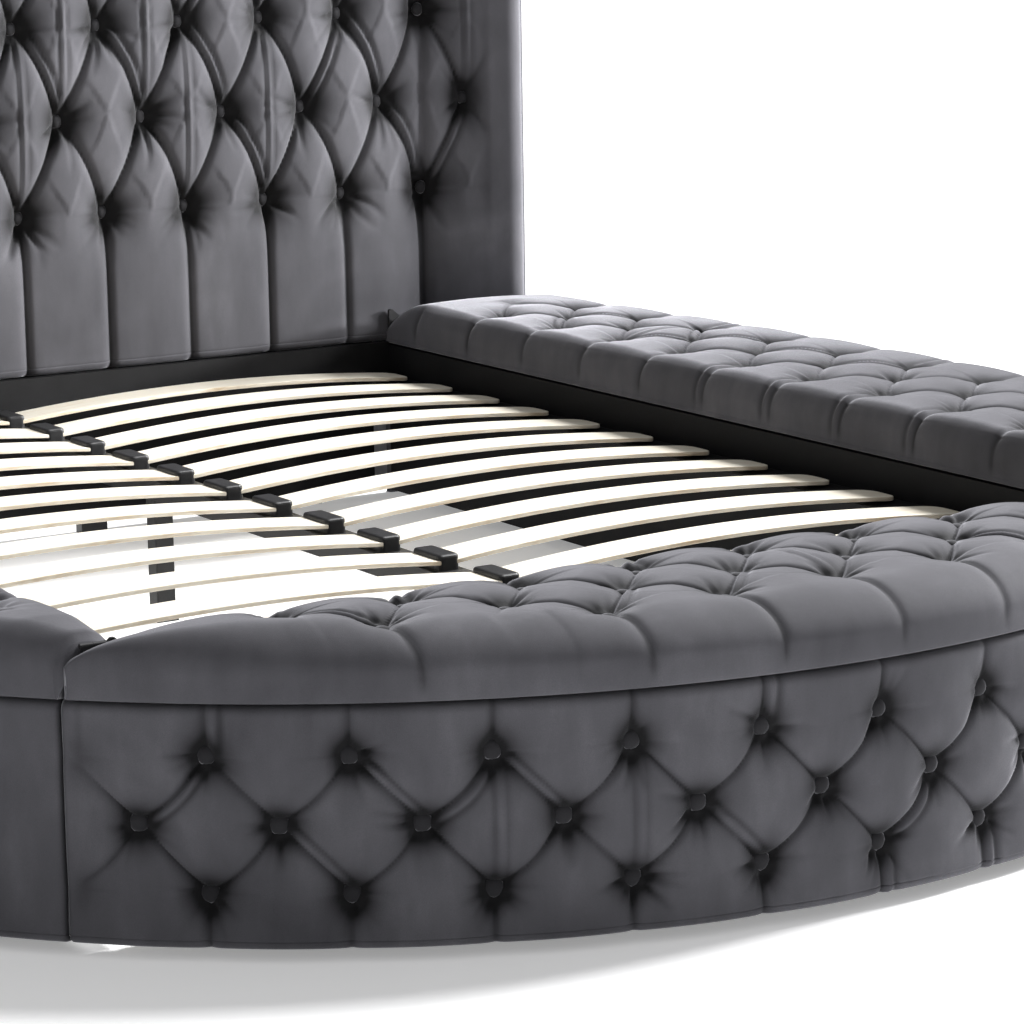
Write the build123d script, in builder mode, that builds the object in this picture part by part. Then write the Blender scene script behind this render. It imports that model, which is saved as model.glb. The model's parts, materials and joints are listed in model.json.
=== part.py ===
"""Round storage bed: three upholstered boxes with hinged lids round a slatted mattress recess.

Millimetres. X runs across the bed, Y towards the headboard, Z up. The origin is on the floor, under the
middle of the whole bed. The bed is the same on both sides, so each side piece is made at the right and
mirrored to the left.
"""

import math
import os

from build123d import *

os.makedirs("parts", exist_ok=True)

# Mattress recess
recess_half_width = 785.0
recess_length = 2116.0

# Plan outline of the boxes: a wide front arc, a corner arc each side and a nearly straight side
half_width = 1188.0
head_half_width = 1080.0
foot_depth = 372.0
front_radius = 1180.0

# Headboard
face_setback = 8.0
head_pad_depth = 60.0
head_core_depth = 24.0
head_back_depth = 5.0
head_top = 1240.0
head_pad_bottom = 298.0
wing_width = 190.0
wing_forward = 70.0
head_column = 158.0
head_row = 161.0
head_first_row = 570.0
head_rows = 4
head_tuft = 34.0
head_edge_round = 24.0
flat_columns = 5.5

# Boxes
box_top = 292.0
skirt_bottom = 14.0
board_bottom = 24.0
foot_block = 50.0
inner_board = 16.0
panel_board = 12.0
floor_board = 10.0
floor_height = 44.0
cover_depth = 34.0
cover_gap = 1.0
cover_column = 160.0
cover_row = 79.0
cover_first_row = 76.0
cover_rows = 3
cover_tuft = 23.0
cover_end_setback = 2.0
box_joint_half_gap = 1.8
floor_setback = 8.0

# Lids
lid_gap = 3.0
lid_board = 16.0
lid_board_inset = 4.0
pad_height = 59.0
pad_crown = 9.0
pad_tuft = 26.0
pad_edge_round = 22.0
pad_draw_in = 4.0
pad_pleat = 5.0
pad_rows = 3
foot_pad_column = 158.0
side_pad_column = 180.0
side_pad_phase = 0.22
pad_row_share = 0.235
nose_length_share = 0.975
end_drop = 8.0
corner_drop = 13.0
nose_drop = 14.0
end_reach = 60.0
corner_margin = 10.0
bumper_clearance = 0.3
bumper_width = 8.0
rest_clearance = 0.3

# Lid pivots: the axes lie near the pads' top inner edges, so a lid opens clear of the mattress
axis_drop = 18.0
side_axis_inset = 6.0
plate_thickness = 3.0
leaf_thickness = 2.0
pivot_gap = 0.5
pivot_radius = 2.5
plate_margin = 2.0
running_clearance = 0.05
knuckle_radius = 3.0
hinge_pin_radius = 1.5
knuckle_length = 16.0
knuckle_gap = 0.3
plate_width = 26.0
plate_bottom = 200.0
head_end_gap = 10.0
end_slope = 0.3

# Slats and their supports
slat_pitch = 157.5
first_slat = 66.0
slat_count = 13
slat_width = 72.0
slat_thickness = 10.0
slat_crown = 20.0
slat_bends = 6
slat_tip = 773.0
slat_root = 9.0
slat_end_cut = 14.0
slat_seat = 237.0
ledge_width = 70.0
ledge_height = 25.0
rail_width = 50.0
rail_height = 32.0
leg_width = 45.0
leg_share = 0.3
glide_height = 10.0
holder_half_length = 40.0
holder_wall = 4.0
holder_floor = 6.0
pocket_height = 15.0
pocket_clearance = 0.6
holder_neck = 6.0

# Fittings and trim
button_radius = 12.0
button_height = 7.0
button_sides = 5
block_width = 50.0
overrun = 5.0

# Shares of a tuft's depth along its creases, and along the straight channels to an edge
crease_share = 0.55
channel_share = 0.4

# Levels and places that follow
head_depth = face_setback + head_pad_depth + head_core_depth + head_back_depth
overall_length = foot_depth + recess_length + head_depth
foot_y = foot_depth - overall_length / 2
head_y = foot_y + recess_length
face_y = head_y + face_setback
lid_bottom = box_top + lid_gap
pad_bottom = lid_bottom + lid_board
pad_top = pad_bottom + pad_height
axis_z = pad_top - axis_drop
panel_inset = cover_depth + cover_gap
cavity_inset = panel_inset + panel_board
rail_top = slat_seat - holder_floor
rail_bottom = rail_top - rail_height

# Arc centres, angles and lengths of the outline, measured from the middle of the foot
front_centre = foot_y - foot_depth + front_radius
seam_angle = math.acos((front_centre - foot_y) / front_radius)
seam_x = front_radius * math.sin(seam_angle)
corner_radius = (half_width - seam_x) / (1 - math.sin(seam_angle))
corner_x = half_width - corner_radius
corner_y = foot_y + corner_radius * math.cos(seam_angle)
side_narrowing = half_width - head_half_width
side_radius = (side_narrowing**2 + (head_y - corner_y) ** 2) / (2 * side_narrowing)
seam_run = front_radius * seam_angle
corner_run = seam_run + corner_radius * (math.pi / 2 - seam_angle)


def outline(run, inset=0.0):
    """Point of the plan outline at a distance along it from the middle of the foot, moved inwards."""
    reach = abs(run)
    if reach <= seam_run:
        angle = reach / front_radius
        x = (front_radius - inset) * math.sin(angle)
        y = front_centre - (front_radius - inset) * math.cos(angle)
    elif reach <= corner_run:
        angle = seam_angle + (reach - seam_run) / corner_radius
        x = corner_x + (corner_radius - inset) * math.sin(angle)
        y = corner_y - (corner_radius - inset) * math.cos(angle)
    else:
        angle = (reach - corner_run) / side_radius
        x = half_width - side_radius + (side_radius - inset) * math.cos(angle)
        y = corner_y + (side_radius - inset) * math.sin(angle)
    return (math.copysign(x, run), y)


def outline_x(y, inset=0.0):
    """Half width of the plan at a place along the bed."""
    if y <= foot_y + inset * math.cos(seam_angle):
        return math.sqrt((front_radius - inset) ** 2 - (front_centre - y) ** 2)
    if y <= corner_y:
        return corner_x + math.sqrt((corner_radius - inset) ** 2 - (corner_y - y) ** 2)
    return half_width - side_radius + math.sqrt((side_radius - inset) ** 2 - (y - corner_y) ** 2)


def outline_arcs(start, end, inset):
    """Draw the outline from one run to another as arcs in the current line builder."""
    joins = (-corner_run, -seam_run, seam_run, corner_run)
    between = [join for join in joins if min(start, end) < join < max(start, end)]
    stops = [start] + sorted(between, reverse=start > end) + [end]
    for a, b in zip(stops, stops[1:]):
        ThreePointArc(outline(a, inset), outline((a + b) / 2, inset), outline(b, inset))


def end_y(x):
    """Head end of the side boxes and lids: a slanted line in front of the headboard and its wing."""
    return face_y - head_end_gap - end_slope * (x - recess_half_width)


def run_at(y, inset=0.0):
    """Run along the outline whose inset point lies at a given place along the bed."""
    if y <= foot_y + inset * math.cos(seam_angle):
        return front_radius * math.acos((front_centre - y) / (front_radius - inset))
    if y <= corner_y:
        return seam_run + corner_radius * (math.acos((corner_y - y) / (corner_radius - inset)) - seam_angle)
    return corner_run + side_radius * math.asin((y - corner_y) / (side_radius - inset))


def run_at_end(inset=0.0):
    """Run where the slanted head end crosses the inset outline."""
    y = end_y(half_width)
    for _ in range(20):
        y = end_y(outline_x(y, inset))
    return run_at(y, inset)


def tuft(column, row, rows):
    """Share of the tuft depth at a place on a field of staggered buttons.

    Column and row count from a button of the first row, and each next row is shifted by half a column.
    Creases join the buttons as diamonds. Outside the rows they run straight to the edge.
    """
    inside = min(max(row, 0), rows - 1)
    p = math.pi * (column + inside / 2)
    q = math.pi * (column - inside / 2)
    puff = abs(math.sin(p) * math.sin(q)) ** 0.4
    dimple = (math.cos(p) * math.cos(q)) ** 4
    if row == inside:
        return crease_share * (1 - puff) + (1 - crease_share) * dimple
    beyond = abs(row - inside)
    return channel_share * (1 - puff) + (1 - channel_share) * dimple * max(0, 1 - 3 * beyond)


def skinned(rings):
    """Closed solid through rings of points, faced with flat triangles that fold along the deeper diagonal.

    A point is x, y, z and how deep it lies in a fold.
    """
    faces = [Face(Wire.make_polygon([Vector(*p[:3]) for p in ring])) for ring in (rings[0], rings[-1])]
    count = len(rings[0])
    for low, high in zip(rings, rings[1:]):
        for j in range(count):
            a, b, c, d = low[j], low[(j + 1) % count], high[(j + 1) % count], high[j]
            if a[3] + c[3] > b[3] + d[3]:
                corners = ((a, b, c), (a, c, d))
            else:
                corners = ((a, b, d), (b, c, d))
            faces += [Face(Wire.make_polygon([Vector(*p[:3]) for p in three])) for three in corners]
    return Solid(Shell(faces))


def save(name, part):
    """Write one piece under its own name."""
    part.label = name
    export_step(part, f"parts/{name}.step")


def save_both(name, part):
    """Write a right-hand piece and its mirrored left-hand twin."""
    save(f"right_{name}", part)
    with BuildPart() as twin:
        mirror(part, about=Plane.YZ)
    save(f"left_{name}", twin.part)


with BuildPart() as button:
    with BuildSketch():
        RegularPolygon(button_radius, button_sides)
    extrude(amount=button_height, taper=30)


def stud(point, outward):
    """One covered button with its back at a point, facing outwards."""
    return button.part.moved(Plane(origin=point, z_dir=outward).location)


# The headboard's front face in plan: flat between the wings, which lean forward
flat_half = flat_columns * head_column
wing_angle = math.asin(wing_forward / wing_width)


def head_point(run, inset=0.0):
    """Point of the headboard's face line at a run from its middle, moved back by an inset."""
    reach = abs(run)
    miter = inset * math.tan(wing_angle / 2)
    if reach < flat_half:
        x, y = reach, face_y + inset
    elif reach == flat_half:
        x, y = flat_half + miter, face_y + inset
    else:
        along = reach - flat_half
        x = flat_half + along * math.cos(wing_angle) + inset * math.sin(wing_angle)
        y = face_y - along * math.sin(wing_angle) + inset * math.cos(wing_angle)
    return (math.copysign(x, run), y)


head_end = flat_half + wing_width


def head_layer(front, back, bottom, top):
    """One layer of the headboard between two insets and two heights."""
    with BuildPart() as layer:
        with BuildSketch(Plane.XY.offset(bottom)):
            with BuildLine():
                stops = (-head_end, -flat_half, flat_half, head_end)
                front_line = [head_point(run, front) for run in stops]
                back_line = [head_point(run, back) for run in reversed(stops)]
                Polyline(front_line + back_line, close=True)
            make_face()
        extrude(amount=top - bottom)
    return layer.part


# Headboard: core board, back cover, tufted pad and its buttons
core_back = head_pad_depth + head_core_depth
layer_top = head_top - head_back_depth
with BuildPart() as headboard_core:
    add(head_layer(head_pad_depth, core_back, board_bottom, layer_top))
save("headboard_core", headboard_core.part)

with BuildPart() as headboard_back_cover:
    add(head_layer(core_back, core_back + head_back_depth, skirt_bottom, layer_top))
save("headboard_back_cover", headboard_back_cover.part)

head_last_row = head_first_row + (head_rows - 1) * head_row
head_heights = [head_pad_bottom + head_edge_round / 3, head_pad_bottom + head_edge_round]
head_heights += [head_first_row + share * head_row for share in (-0.6, -0.2)]
head_heights += [head_first_row + half * head_row / 2 for half in range(2 * head_rows - 1)]
head_heights += [head_last_row + head_row / 4, head_top - head_edge_round, head_top - head_edge_round / 3]


def head_ring(run):
    """Upright section of the headboard's pad at a run from its middle."""
    ring = [head_point(run, head_pad_depth) + (head_pad_bottom, 0)]
    end = head_edge_round * max(0, 1 - (head_end - abs(run)) / head_edge_round) / 2
    for index, z in enumerate(head_heights):
        row = (z - head_first_row) / head_row
        inset = end + head_tuft * tuft(run / head_column - 0.5, row, head_rows)
        if index in (0, len(head_heights) - 1):
            inset += head_edge_round / 2
        ring.append(head_point(run, inset) + (z, inset))
    return ring + [head_point(run, head_pad_depth) + (head_top, 0)]


head_ends = [head_end - head_edge_round / 2, head_end]
head_runs = [-run for run in reversed(head_ends)]
head_runs += [step * head_column / 4 for step in range(-26, 27)] + head_ends
with BuildPart() as headboard_pad:
    add(skinned([head_ring(run) for run in head_runs]))
save("headboard_pad", headboard_pad.part)

with BuildPart() as headboard_buttons:
    for row in range(head_rows):
        for half in range(-12, 13):
            if (half + row) % 2:
                run = half * head_column / 2
                x, y = head_point(run, head_tuft)
                lean = math.copysign(wing_angle, run) if abs(run) > flat_half else 0
                add(stud((x, y, head_first_row + row * head_row), (-math.sin(lean), -math.cos(lean), 0)))
save("headboard_buttons", headboard_buttons.part)

# Upholstered bases that carry the headboard's outer parts down behind the side boxes
base_gap = 2.0
base_start = recess_half_width + 2 * base_gap
with BuildPart() as wing_bases:
    with BuildSketch(Plane.XY.offset(skirt_bottom)):
        with BuildLine():
            stops = (base_start, flat_half, head_end)
            front = [head_point(run, base_gap) for run in stops]
            back = [head_point(run, head_pad_depth) for run in stops[::-1]]
            Polyline(front + back, close=True)
        make_face()
    extrude(amount=head_pad_bottom - skirt_bottom)
    mirror(about=Plane.YZ)
save("headboard_wing_bases", wing_bases.part)

# Black board that closes the head of the recess, on blocks in front of the headboard
head_board_bottom = rail_bottom - rail_height
with BuildPart() as head_board:
    with BuildSketch(Plane.XY.offset(head_board_bottom)):
        with Locations((0, head_y + inner_board / 2)):
            Rectangle(2 * recess_half_width - 2 * rest_clearance, inner_board)
    extrude(amount=head_pad_bottom - rest_clearance - head_board_bottom)
save("head_board", head_board.part)

with BuildPart() as head_board_blocks:
    block_depth = face_setback + head_pad_depth - inner_board
    with BuildSketch(Plane.XY.offset(head_board_bottom)):
        with GridLocations(recess_half_width / 2, 0, 4, 1):
            with Locations((0, head_y + inner_board + block_depth / 2)):
                Rectangle(block_width, block_depth)
    extrude(amount=head_pad_bottom - rest_clearance - head_board_bottom)
save("head_board_blocks", head_board_blocks.part)

# Side box boards
cavity_x = recess_half_width + inner_board
side_start = foot_y + box_joint_half_gap
inner_board_end = face_y - head_end_gap + leaf_thickness + pivot_gap - rest_clearance
with BuildPart() as inner_side:
    with BuildSketch(Plane.XY.offset(board_bottom)):
        with BuildLine():
            a = (recess_half_width, side_start)
            b = (recess_half_width + inner_board, side_start)
            c = (recess_half_width + inner_board, inner_board_end)
            d = (recess_half_width, inner_board_end)
            Polyline(a, b, c, d, close=True)
        make_face()
    extrude(amount=box_top - board_bottom)
save_both("inner_board", inner_side.part)

with BuildPart() as outer_side:
    with BuildSketch(Plane.XY.offset(board_bottom)):
        with BuildLine():
            start_out = run_at(side_start, panel_inset)
            beside = front_radius * math.asin(cavity_x / (front_radius - cavity_inset))
            start_in = max(run_at(side_start, cavity_inset), beside)
            corner = [(cavity_x, side_start)] if start_in == beside else []
            end_out = run_at_end(panel_inset)
            end_in = run_at_end(cavity_inset)
            outline_arcs(start_out, end_out, panel_inset)
            Line(outline(end_out, panel_inset), outline(end_in, cavity_inset))
            outline_arcs(end_in, start_in, cavity_inset)
            Polyline([outline(start_in, cavity_inset)] + corner + [outline(start_out, panel_inset)])
        make_face()
    extrude(amount=box_top - board_bottom)
save_both("outer_panel", outer_side.part)

with BuildPart() as end_side:
    with BuildSketch(Plane.XY.offset(board_bottom)):
        with BuildLine():
            far_x = outline(run_at_end(cavity_inset), cavity_inset)[0] - rest_clearance
            near_x = cavity_x + plate_width
            thick = inner_board / math.cos(math.atan(end_slope))
            Polyline(
                (near_x, end_y(near_x)), (far_x, end_y(far_x)), (far_x, end_y(far_x) - thick),
                (cavity_x, end_y(cavity_x) - thick), (cavity_x, end_y(near_x)), close=True,
            )
        make_face()
    extrude(amount=box_top - board_bottom)
save_both("head_end_board", end_side.part)

with BuildPart() as floor_side:
    with BuildSketch(Plane.XY.offset(floor_height)):
        with BuildLine():
            floor_inset = cavity_inset + rest_clearance
            floor_start = side_start + floor_setback
            floor_end = thick + floor_setback / 2
            start = run_at(floor_start, floor_inset)
            end = run_at(end_y(far_x) - floor_end, floor_inset)
            outline_arcs(start, end, floor_inset)
            Polyline(
                outline(end, floor_inset), (cavity_x, end_y(cavity_x) - floor_end), (cavity_x, floor_start),
                outline(start, floor_inset),
            )
        make_face()
    extrude(amount=floor_board)
save_both("storage_floor", floor_side.part)

# Foot box boards
foot_face = foot_y - box_joint_half_gap
with BuildPart() as foot_panel:
    with BuildSketch(Plane.XY.offset(board_bottom)):
        with BuildLine():
            out = run_at(foot_face, panel_inset)
            inner = run_at(foot_face, cavity_inset)
            outline_arcs(-out, out, panel_inset)
            Line(outline(out, panel_inset), outline(inner, cavity_inset))
            outline_arcs(inner, -inner, cavity_inset)
            Line(outline(-inner, cavity_inset), outline(-out, panel_inset))
        make_face()
    extrude(amount=box_top - board_bottom)
save("foot_outer_panel", foot_panel.part)

foot_back = foot_face - inner_board
board_half = outline_x(foot_back, cavity_inset) - rest_clearance
with BuildPart() as foot_inner:
    with BuildSketch(Plane.XY.offset(board_bottom)):
        with Locations((0, foot_face - inner_board / 2)):
            Rectangle(2 * board_half, inner_board)
    extrude(amount=box_top - board_bottom)
save("foot_inner_board", foot_inner.part)

with BuildPart() as foot_floor:
    with BuildSketch(Plane.XY.offset(floor_height)):
        with BuildLine():
            chord = foot_back - rest_clearance
            reach = run_at(chord, floor_inset)
            outline_arcs(-reach, reach, floor_inset)
            Line(outline(reach, floor_inset), outline(-reach, floor_inset))
        make_face()
    extrude(amount=floor_board)
save("foot_storage_floor", foot_floor.part)

# Tufted covers on the outsides of the boxes
cover_heights = [skirt_bottom + cover_end_setback, cover_first_row - cover_row / 2]
cover_heights += [cover_first_row + half * cover_row / 2 for half in range(2 * cover_rows - 1)]
cover_heights += [cover_first_row + (cover_rows - 0.6) * cover_row, box_top - cover_end_setback]


def cover_ring(run):
    """Upright section of a box's cover at a run."""
    ring = [outline(run, cover_depth) + (skirt_bottom, 0)]
    for index, z in enumerate(cover_heights):
        row = (z - cover_first_row) / cover_row
        inset = cover_tuft * tuft(run / cover_column, row, cover_rows)
        if index in (0, len(cover_heights) - 1):
            inset += cover_end_setback
        ring.append(outline(run, inset) + (z, inset))
    return ring + [outline(run, cover_depth) + (box_top, 0)]


def cover_stops(start, end, column):
    """Runs at every quarter column between two ends, with the ends."""
    quarter = column / 4
    first = math.ceil(start / quarter + 0.3)
    last = math.floor(end / quarter - 0.3)
    return [start] + [step * quarter for step in range(first, last + 1)] + [end]


foot_cover_end = seam_run - box_joint_half_gap
with BuildPart() as foot_cover:
    add(skinned([cover_ring(run) for run in cover_stops(-foot_cover_end, foot_cover_end, cover_column)]))
save("foot_cover", foot_cover.part)

side_cover_start = seam_run + box_joint_half_gap
side_cover_end = run_at_end(0) - cover_end_setback
with BuildPart() as side_cover:
    add(skinned([cover_ring(run) for run in cover_stops(side_cover_start, side_cover_end, cover_column)]))
save_both("cover", side_cover.part)


def cover_buttons(start, end):
    """Buttons of a cover between two runs."""
    with BuildPart() as buttons:
        for row in range(cover_rows):
            for half in range(math.ceil(2 * start / cover_column), math.floor(2 * end / cover_column) + 1):
                run = half * cover_column / 2
                if (half + row) % 2 == 0 and start + button_radius * 2 < run < end - button_radius * 2:
                    near = Vector(*outline(run, cover_tuft))
                    far = Vector(*outline(run, 0))
                    point = (near.X, near.Y, cover_first_row + row * cover_row)
                    add(stud(point, (far - near).normalized()))
    return buttons.part


with BuildPart() as foot_cover_buttons:
    add(cover_buttons(-foot_cover_end, foot_cover_end))
save("foot_cover_buttons", foot_cover_buttons.part)

with BuildPart() as side_cover_buttons:
    add(cover_buttons(side_cover_start, side_cover_end))
save_both("cover_buttons", side_cover_buttons.part)

# Black supports of the slats: a ledge each side and a centre rail on legs, hung at both ends
ledge_end = 2.0
with BuildPart() as ledge_side:
    with BuildSketch(Plane.XY.offset(slat_seat - ledge_height)):
        with Locations((recess_half_width - ledge_width / 2, (foot_y + head_y) / 2)):
            Rectangle(ledge_width, recess_length - 2 * ledge_end)
    extrude(amount=ledge_height)
save_both("slat_ledge", ledge_side.part)

hanger_sheet = 3.0
hanger_length = 45.0
rail_start = foot_face + hanger_sheet
rail_end = head_y - hanger_sheet
with BuildPart() as centre_rail:
    with BuildSketch(Plane.XY.offset(rail_bottom)):
        with Locations((0, (rail_start + rail_end) / 2)):
            Rectangle(rail_width, rail_end - rail_start)
    extrude(amount=rail_height)
save("centre_rail", centre_rail.part)


def hanger(wall_y, inwards):
    """Sheet pocket on a wall of the recess, round the under side and flanks of one end of the centre rail."""
    wall = Plane((0, wall_y, rail_bottom), x_dir=(-inwards, 0, 0), z_dir=(0, inwards, 0))
    with BuildPart() as pocket:
        with BuildSketch(wall):
            with Locations((0, rail_height / 2 - hanger_sheet / 2)):
                Rectangle(rail_width + hanger_length, rail_height + hanger_sheet)
        extrude(amount=hanger_sheet)
        with BuildSketch(wall):
            with Locations((0, rail_height / 2 - hanger_sheet / 2)):
                Rectangle(rail_width + 2 * hanger_sheet, rail_height + hanger_sheet)
        extrude(amount=hanger_length)
        with BuildSketch(wall.offset(hanger_sheet)):
            with Locations((0, rail_height / 2)):
                Rectangle(rail_width, rail_height)
        extrude(amount=hanger_length, mode=Mode.SUBTRACT)
    return pocket.part


with BuildPart() as rail_hangers:
    add(hanger(foot_face, 1))
    add(hanger(head_y, -1))
save("rail_hangers", rail_hangers.part)

leg_top = rail_bottom
leg_places = [foot_y + share * recess_length for share in (leg_share, 1 - leg_share)]
with BuildPart() as centre_legs:
    with BuildSketch(Plane.XY.offset(glide_height)):
        with Locations([(0, y) for y in leg_places]):
            Rectangle(leg_width, leg_width)
    extrude(amount=leg_top - glide_height)
save("centre_legs", centre_legs.part)

with BuildPart() as leg_glides:
    with BuildSketch():
        with Locations([(0, y) for y in leg_places]):
            Rectangle(leg_width - floor_setback, leg_width - floor_setback)
    extrude(amount=glide_height)
save("leg_glides", leg_glides.part)

# Bowed slats in two rows, with their inner ends in double holders on the centre rail
slat_places = [head_y - first_slat - index * slat_pitch for index in range(slat_count)]
slat_length = slat_tip - slat_root
slat_line = []
for bend in range(slat_bends + 1):
    share = bend / slat_bends
    slat_line.append((slat_root + share * slat_length, slat_seat + 4 * slat_crown * share * (1 - share)))
with BuildPart() as slat:
    with BuildSketch(Plane.XZ):
        with BuildLine():
            Polyline(slat_line + [(x, z + slat_thickness) for x, z in reversed(slat_line)], close=True)
        make_face()
    extrude(amount=slat_width / 2, both=True)
    tip_corners = slat.edges().filter_by(Axis.Z).group_by(Axis.X)[-1]
    chamfer(tip_corners, slat_end_cut)

with BuildPart() as slats_side:
    for y in slat_places:
        add(slat.part.moved(Location((0, y, 0))))
save_both("slats", slats_side.part)

holder_width = slat_width + 2 * (holder_wall + pocket_clearance)
holder_height = holder_floor + pocket_height + holder_wall
with BuildPart() as slat_holders:
    with BuildSketch(Plane.XY.offset(rail_top)):
        with Locations([(0, y) for y in slat_places]):
            Rectangle(2 * holder_half_length, holder_width)
    extrude(amount=holder_height)
    chamfer(slat_holders.faces().sort_by(Axis.Z)[-slat_count:].edges(), holder_wall / 2)
    with BuildSketch(Plane.XY.offset(slat_seat)):
        pocket_end = holder_half_length + overrun
        pocket_x = (pocket_end + holder_neck) / 2
        with Locations([(x, y) for x in (-pocket_x, pocket_x) for y in slat_places]):
            Rectangle(pocket_end - holder_neck, slat_width + 2 * pocket_clearance)
    extrude(amount=pocket_height, mode=Mode.SUBTRACT)
save("centre_slat_holders", slat_holders.part)

# Feet under the storage floors and glides under the headboard
foot_shares = (0.12, 0.38, 0.64, 0.9)
front_share = 0.55
feet_places = []
for share in foot_shares:
    y = foot_y + share * recess_length
    x = (cavity_x + outline_x(y, cavity_inset)) / 2
    feet_places += [(x, y), (-x, y)]
for share in (-front_share, 0, front_share):
    x = share * seam_x
    cavity_y = front_centre - math.sqrt((front_radius - cavity_inset) ** 2 - x**2)
    feet_places.append((x, (foot_back + cavity_y) / 2))
with BuildPart() as box_feet:
    with BuildSketch():
        with Locations(feet_places):
            Rectangle(foot_block, foot_block)
    extrude(amount=floor_height)
save("box_feet", box_feet.part)

with BuildPart() as headboard_glides:
    with BuildSketch():
        with GridLocations(flat_half / 2, 0, 4, 1):
            with Locations((0, face_y + head_pad_depth + head_core_depth / 2)):
                Rectangle(foot_block, head_core_depth)
    extrude(amount=board_bottom)
save("headboard_glides", headboard_glides.part)


# Lids: a board, a tufted pad on it and the pad's buttons
def pad_ring(width, column, drop):
    """Section of a lid's pad as distances from its inner face, heights over the board and fold depths.

    The drop is how far the pad's top sinks at this section.
    """
    height = pad_height - drop
    edge = min(pad_edge_round, 0.3 * width)
    relief = pad_tuft * min(max((width - pad_height) / (2 * pad_height), 0), 1)
    swell = pad_crown * min(width / (3 * pad_height), 1)
    fold = pad_pleat * (1 - abs(math.sin(math.pi * column))) * relief / pad_tuft
    draw = min(pad_draw_in, 0.15 * width)
    inner = [(draw, 0), (fold, 0.45 * height), (fold, height - edge)]
    inner.append((fold + 0.3 * edge, height - 0.3 * edge))
    outer = [(width - s, h) for s, h in reversed(inner)]
    top = []
    for half in range(-1, 2 * pad_rows):
        share = pad_row_share * (1 + half / 2)
        depth = relief * tuft(column, half / 2, pad_rows)
        top.append((share * width, height + swell * (1 - (2 * share - 1) ** 2) - depth, depth))
    return [(s, h, 0) for s, h in inner] + top + [(s, h, 0) for s, h in outer]


side_pad_start = foot_y + plate_thickness / 2 + pivot_gap + leaf_thickness
side_pad_end = face_y - head_end_gap
foot_axis_y = foot_y + plate_thickness / 2 - knuckle_radius
foot_pad_face = foot_axis_y - knuckle_radius - rest_clearance


def side_pad_width(y, slant):
    """Width of a side pad at a station whose section slants by a share of the head end's slope."""
    x = half_width
    for _ in range(20):
        x = outline_x(y - slant * end_slope * (x - recess_half_width))
    return x - recess_half_width


def side_pad_ring(y):
    """Section of a side pad at a station along the bed."""
    slant = max(0, 1 - (side_pad_end - y) / side_pad_column)
    drop = end_drop * max(0, 1 - (y - side_pad_start) / end_reach)
    column = (y - side_pad_start) / side_pad_column - side_pad_phase
    ring = []
    for s, h, depth in pad_ring(side_pad_width(y, slant), column, drop):
        ring.append((recess_half_width + s, y - slant * end_slope * s, pad_bottom + h, depth))
    return ring


def foot_pad_width(x):
    """Depth of the foot pad at a place across the bed."""
    return foot_pad_face - front_centre + math.sqrt(front_radius**2 - x**2)


def foot_pad_ring(x):
    """Section of the foot pad at a place across the bed."""
    past = max(0, abs(x) - recess_half_width + corner_margin + end_reach) / end_reach
    drop = corner_drop * min(past, 1) + nose_drop * max(0, past - 1) ** 2
    ring = pad_ring(foot_pad_width(x), x / foot_pad_column, drop)
    return [(x, foot_pad_face - s, pad_bottom + h, depth) for s, h, depth in ring]


with BuildPart() as lid_board_side:
    with BuildSketch(Plane.XY.offset(lid_bottom)):
        with BuildLine():
            start = run_at(side_pad_start, lid_board_inset)
            end = run_at_end(lid_board_inset)
            inner_x = recess_half_width + lid_board_inset / 2
            outline_arcs(start, end, lid_board_inset)
            Polyline(
                outline(end, lid_board_inset), (inner_x, end_y(inner_x)), (inner_x, side_pad_start),
                outline(start, lid_board_inset),
            )
        make_face()
    extrude(amount=lid_board)
save_both("lid_board", lid_board_side.part)

side_quarter = side_pad_column / 4
first_station = side_pad_start + side_pad_phase * side_pad_column
side_steps = math.floor((side_pad_end - first_station) / side_quarter + 0.7)
side_stations = [first_station + step * side_quarter for step in range(side_steps)]
with BuildPart() as lid_pad_side:
    add(skinned([side_pad_ring(y) for y in [side_pad_start] + side_stations + [side_pad_end]]))
save_both("lid_pad", lid_pad_side.part)

with BuildPart() as lid_board_foot:
    with BuildSketch(Plane.XY.offset(lid_bottom)):
        with BuildLine():
            reach = run_at(foot_pad_face, lid_board_inset)
            outline_arcs(-reach, reach, lid_board_inset)
            Line(outline(reach, lid_board_inset), outline(-reach, lid_board_inset))
        make_face()
    extrude(amount=lid_board)
save("foot_lid_board", lid_board_foot.part)

nose_x = nose_length_share * seam_x
foot_quarter = foot_pad_column / 4
foot_steps = int(nose_x / foot_quarter)
foot_stations = [-nose_x] + [step * foot_quarter for step in range(-foot_steps, foot_steps + 1)] + [nose_x]
with BuildPart() as lid_pad_foot:
    add(skinned([foot_pad_ring(x) for x in reversed(foot_stations)]))
save("foot_lid_pad", lid_pad_foot.part)


def pad_button_height(share):
    """Height of a button's seat on a pad of full relief."""
    return pad_top + pad_crown * (1 - (2 * share - 1) ** 2) - pad_tuft


with BuildPart() as lid_buttons_side:
    columns = int((side_pad_end - side_pad_start) / side_pad_column * 2)
    for row in range(pad_rows):
        share = pad_row_share * (1 + row)
        for half in range(columns + 1):
            y = side_pad_start + (half / 2 + side_pad_phase) * side_pad_column
            slant = max(0, 1 - (side_pad_end - y) / side_pad_column)
            width = side_pad_width(y, slant)
            if (half + row) % 2 == 0 and width > 3 * pad_height and y < side_pad_end - pad_edge_round:
                s = share * width
                seat = (recess_half_width + s, y - slant * end_slope * s, pad_button_height(share))
                add(stud(seat, (0, 0, 1)))
save_both("lid_buttons", lid_buttons_side.part)

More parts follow.
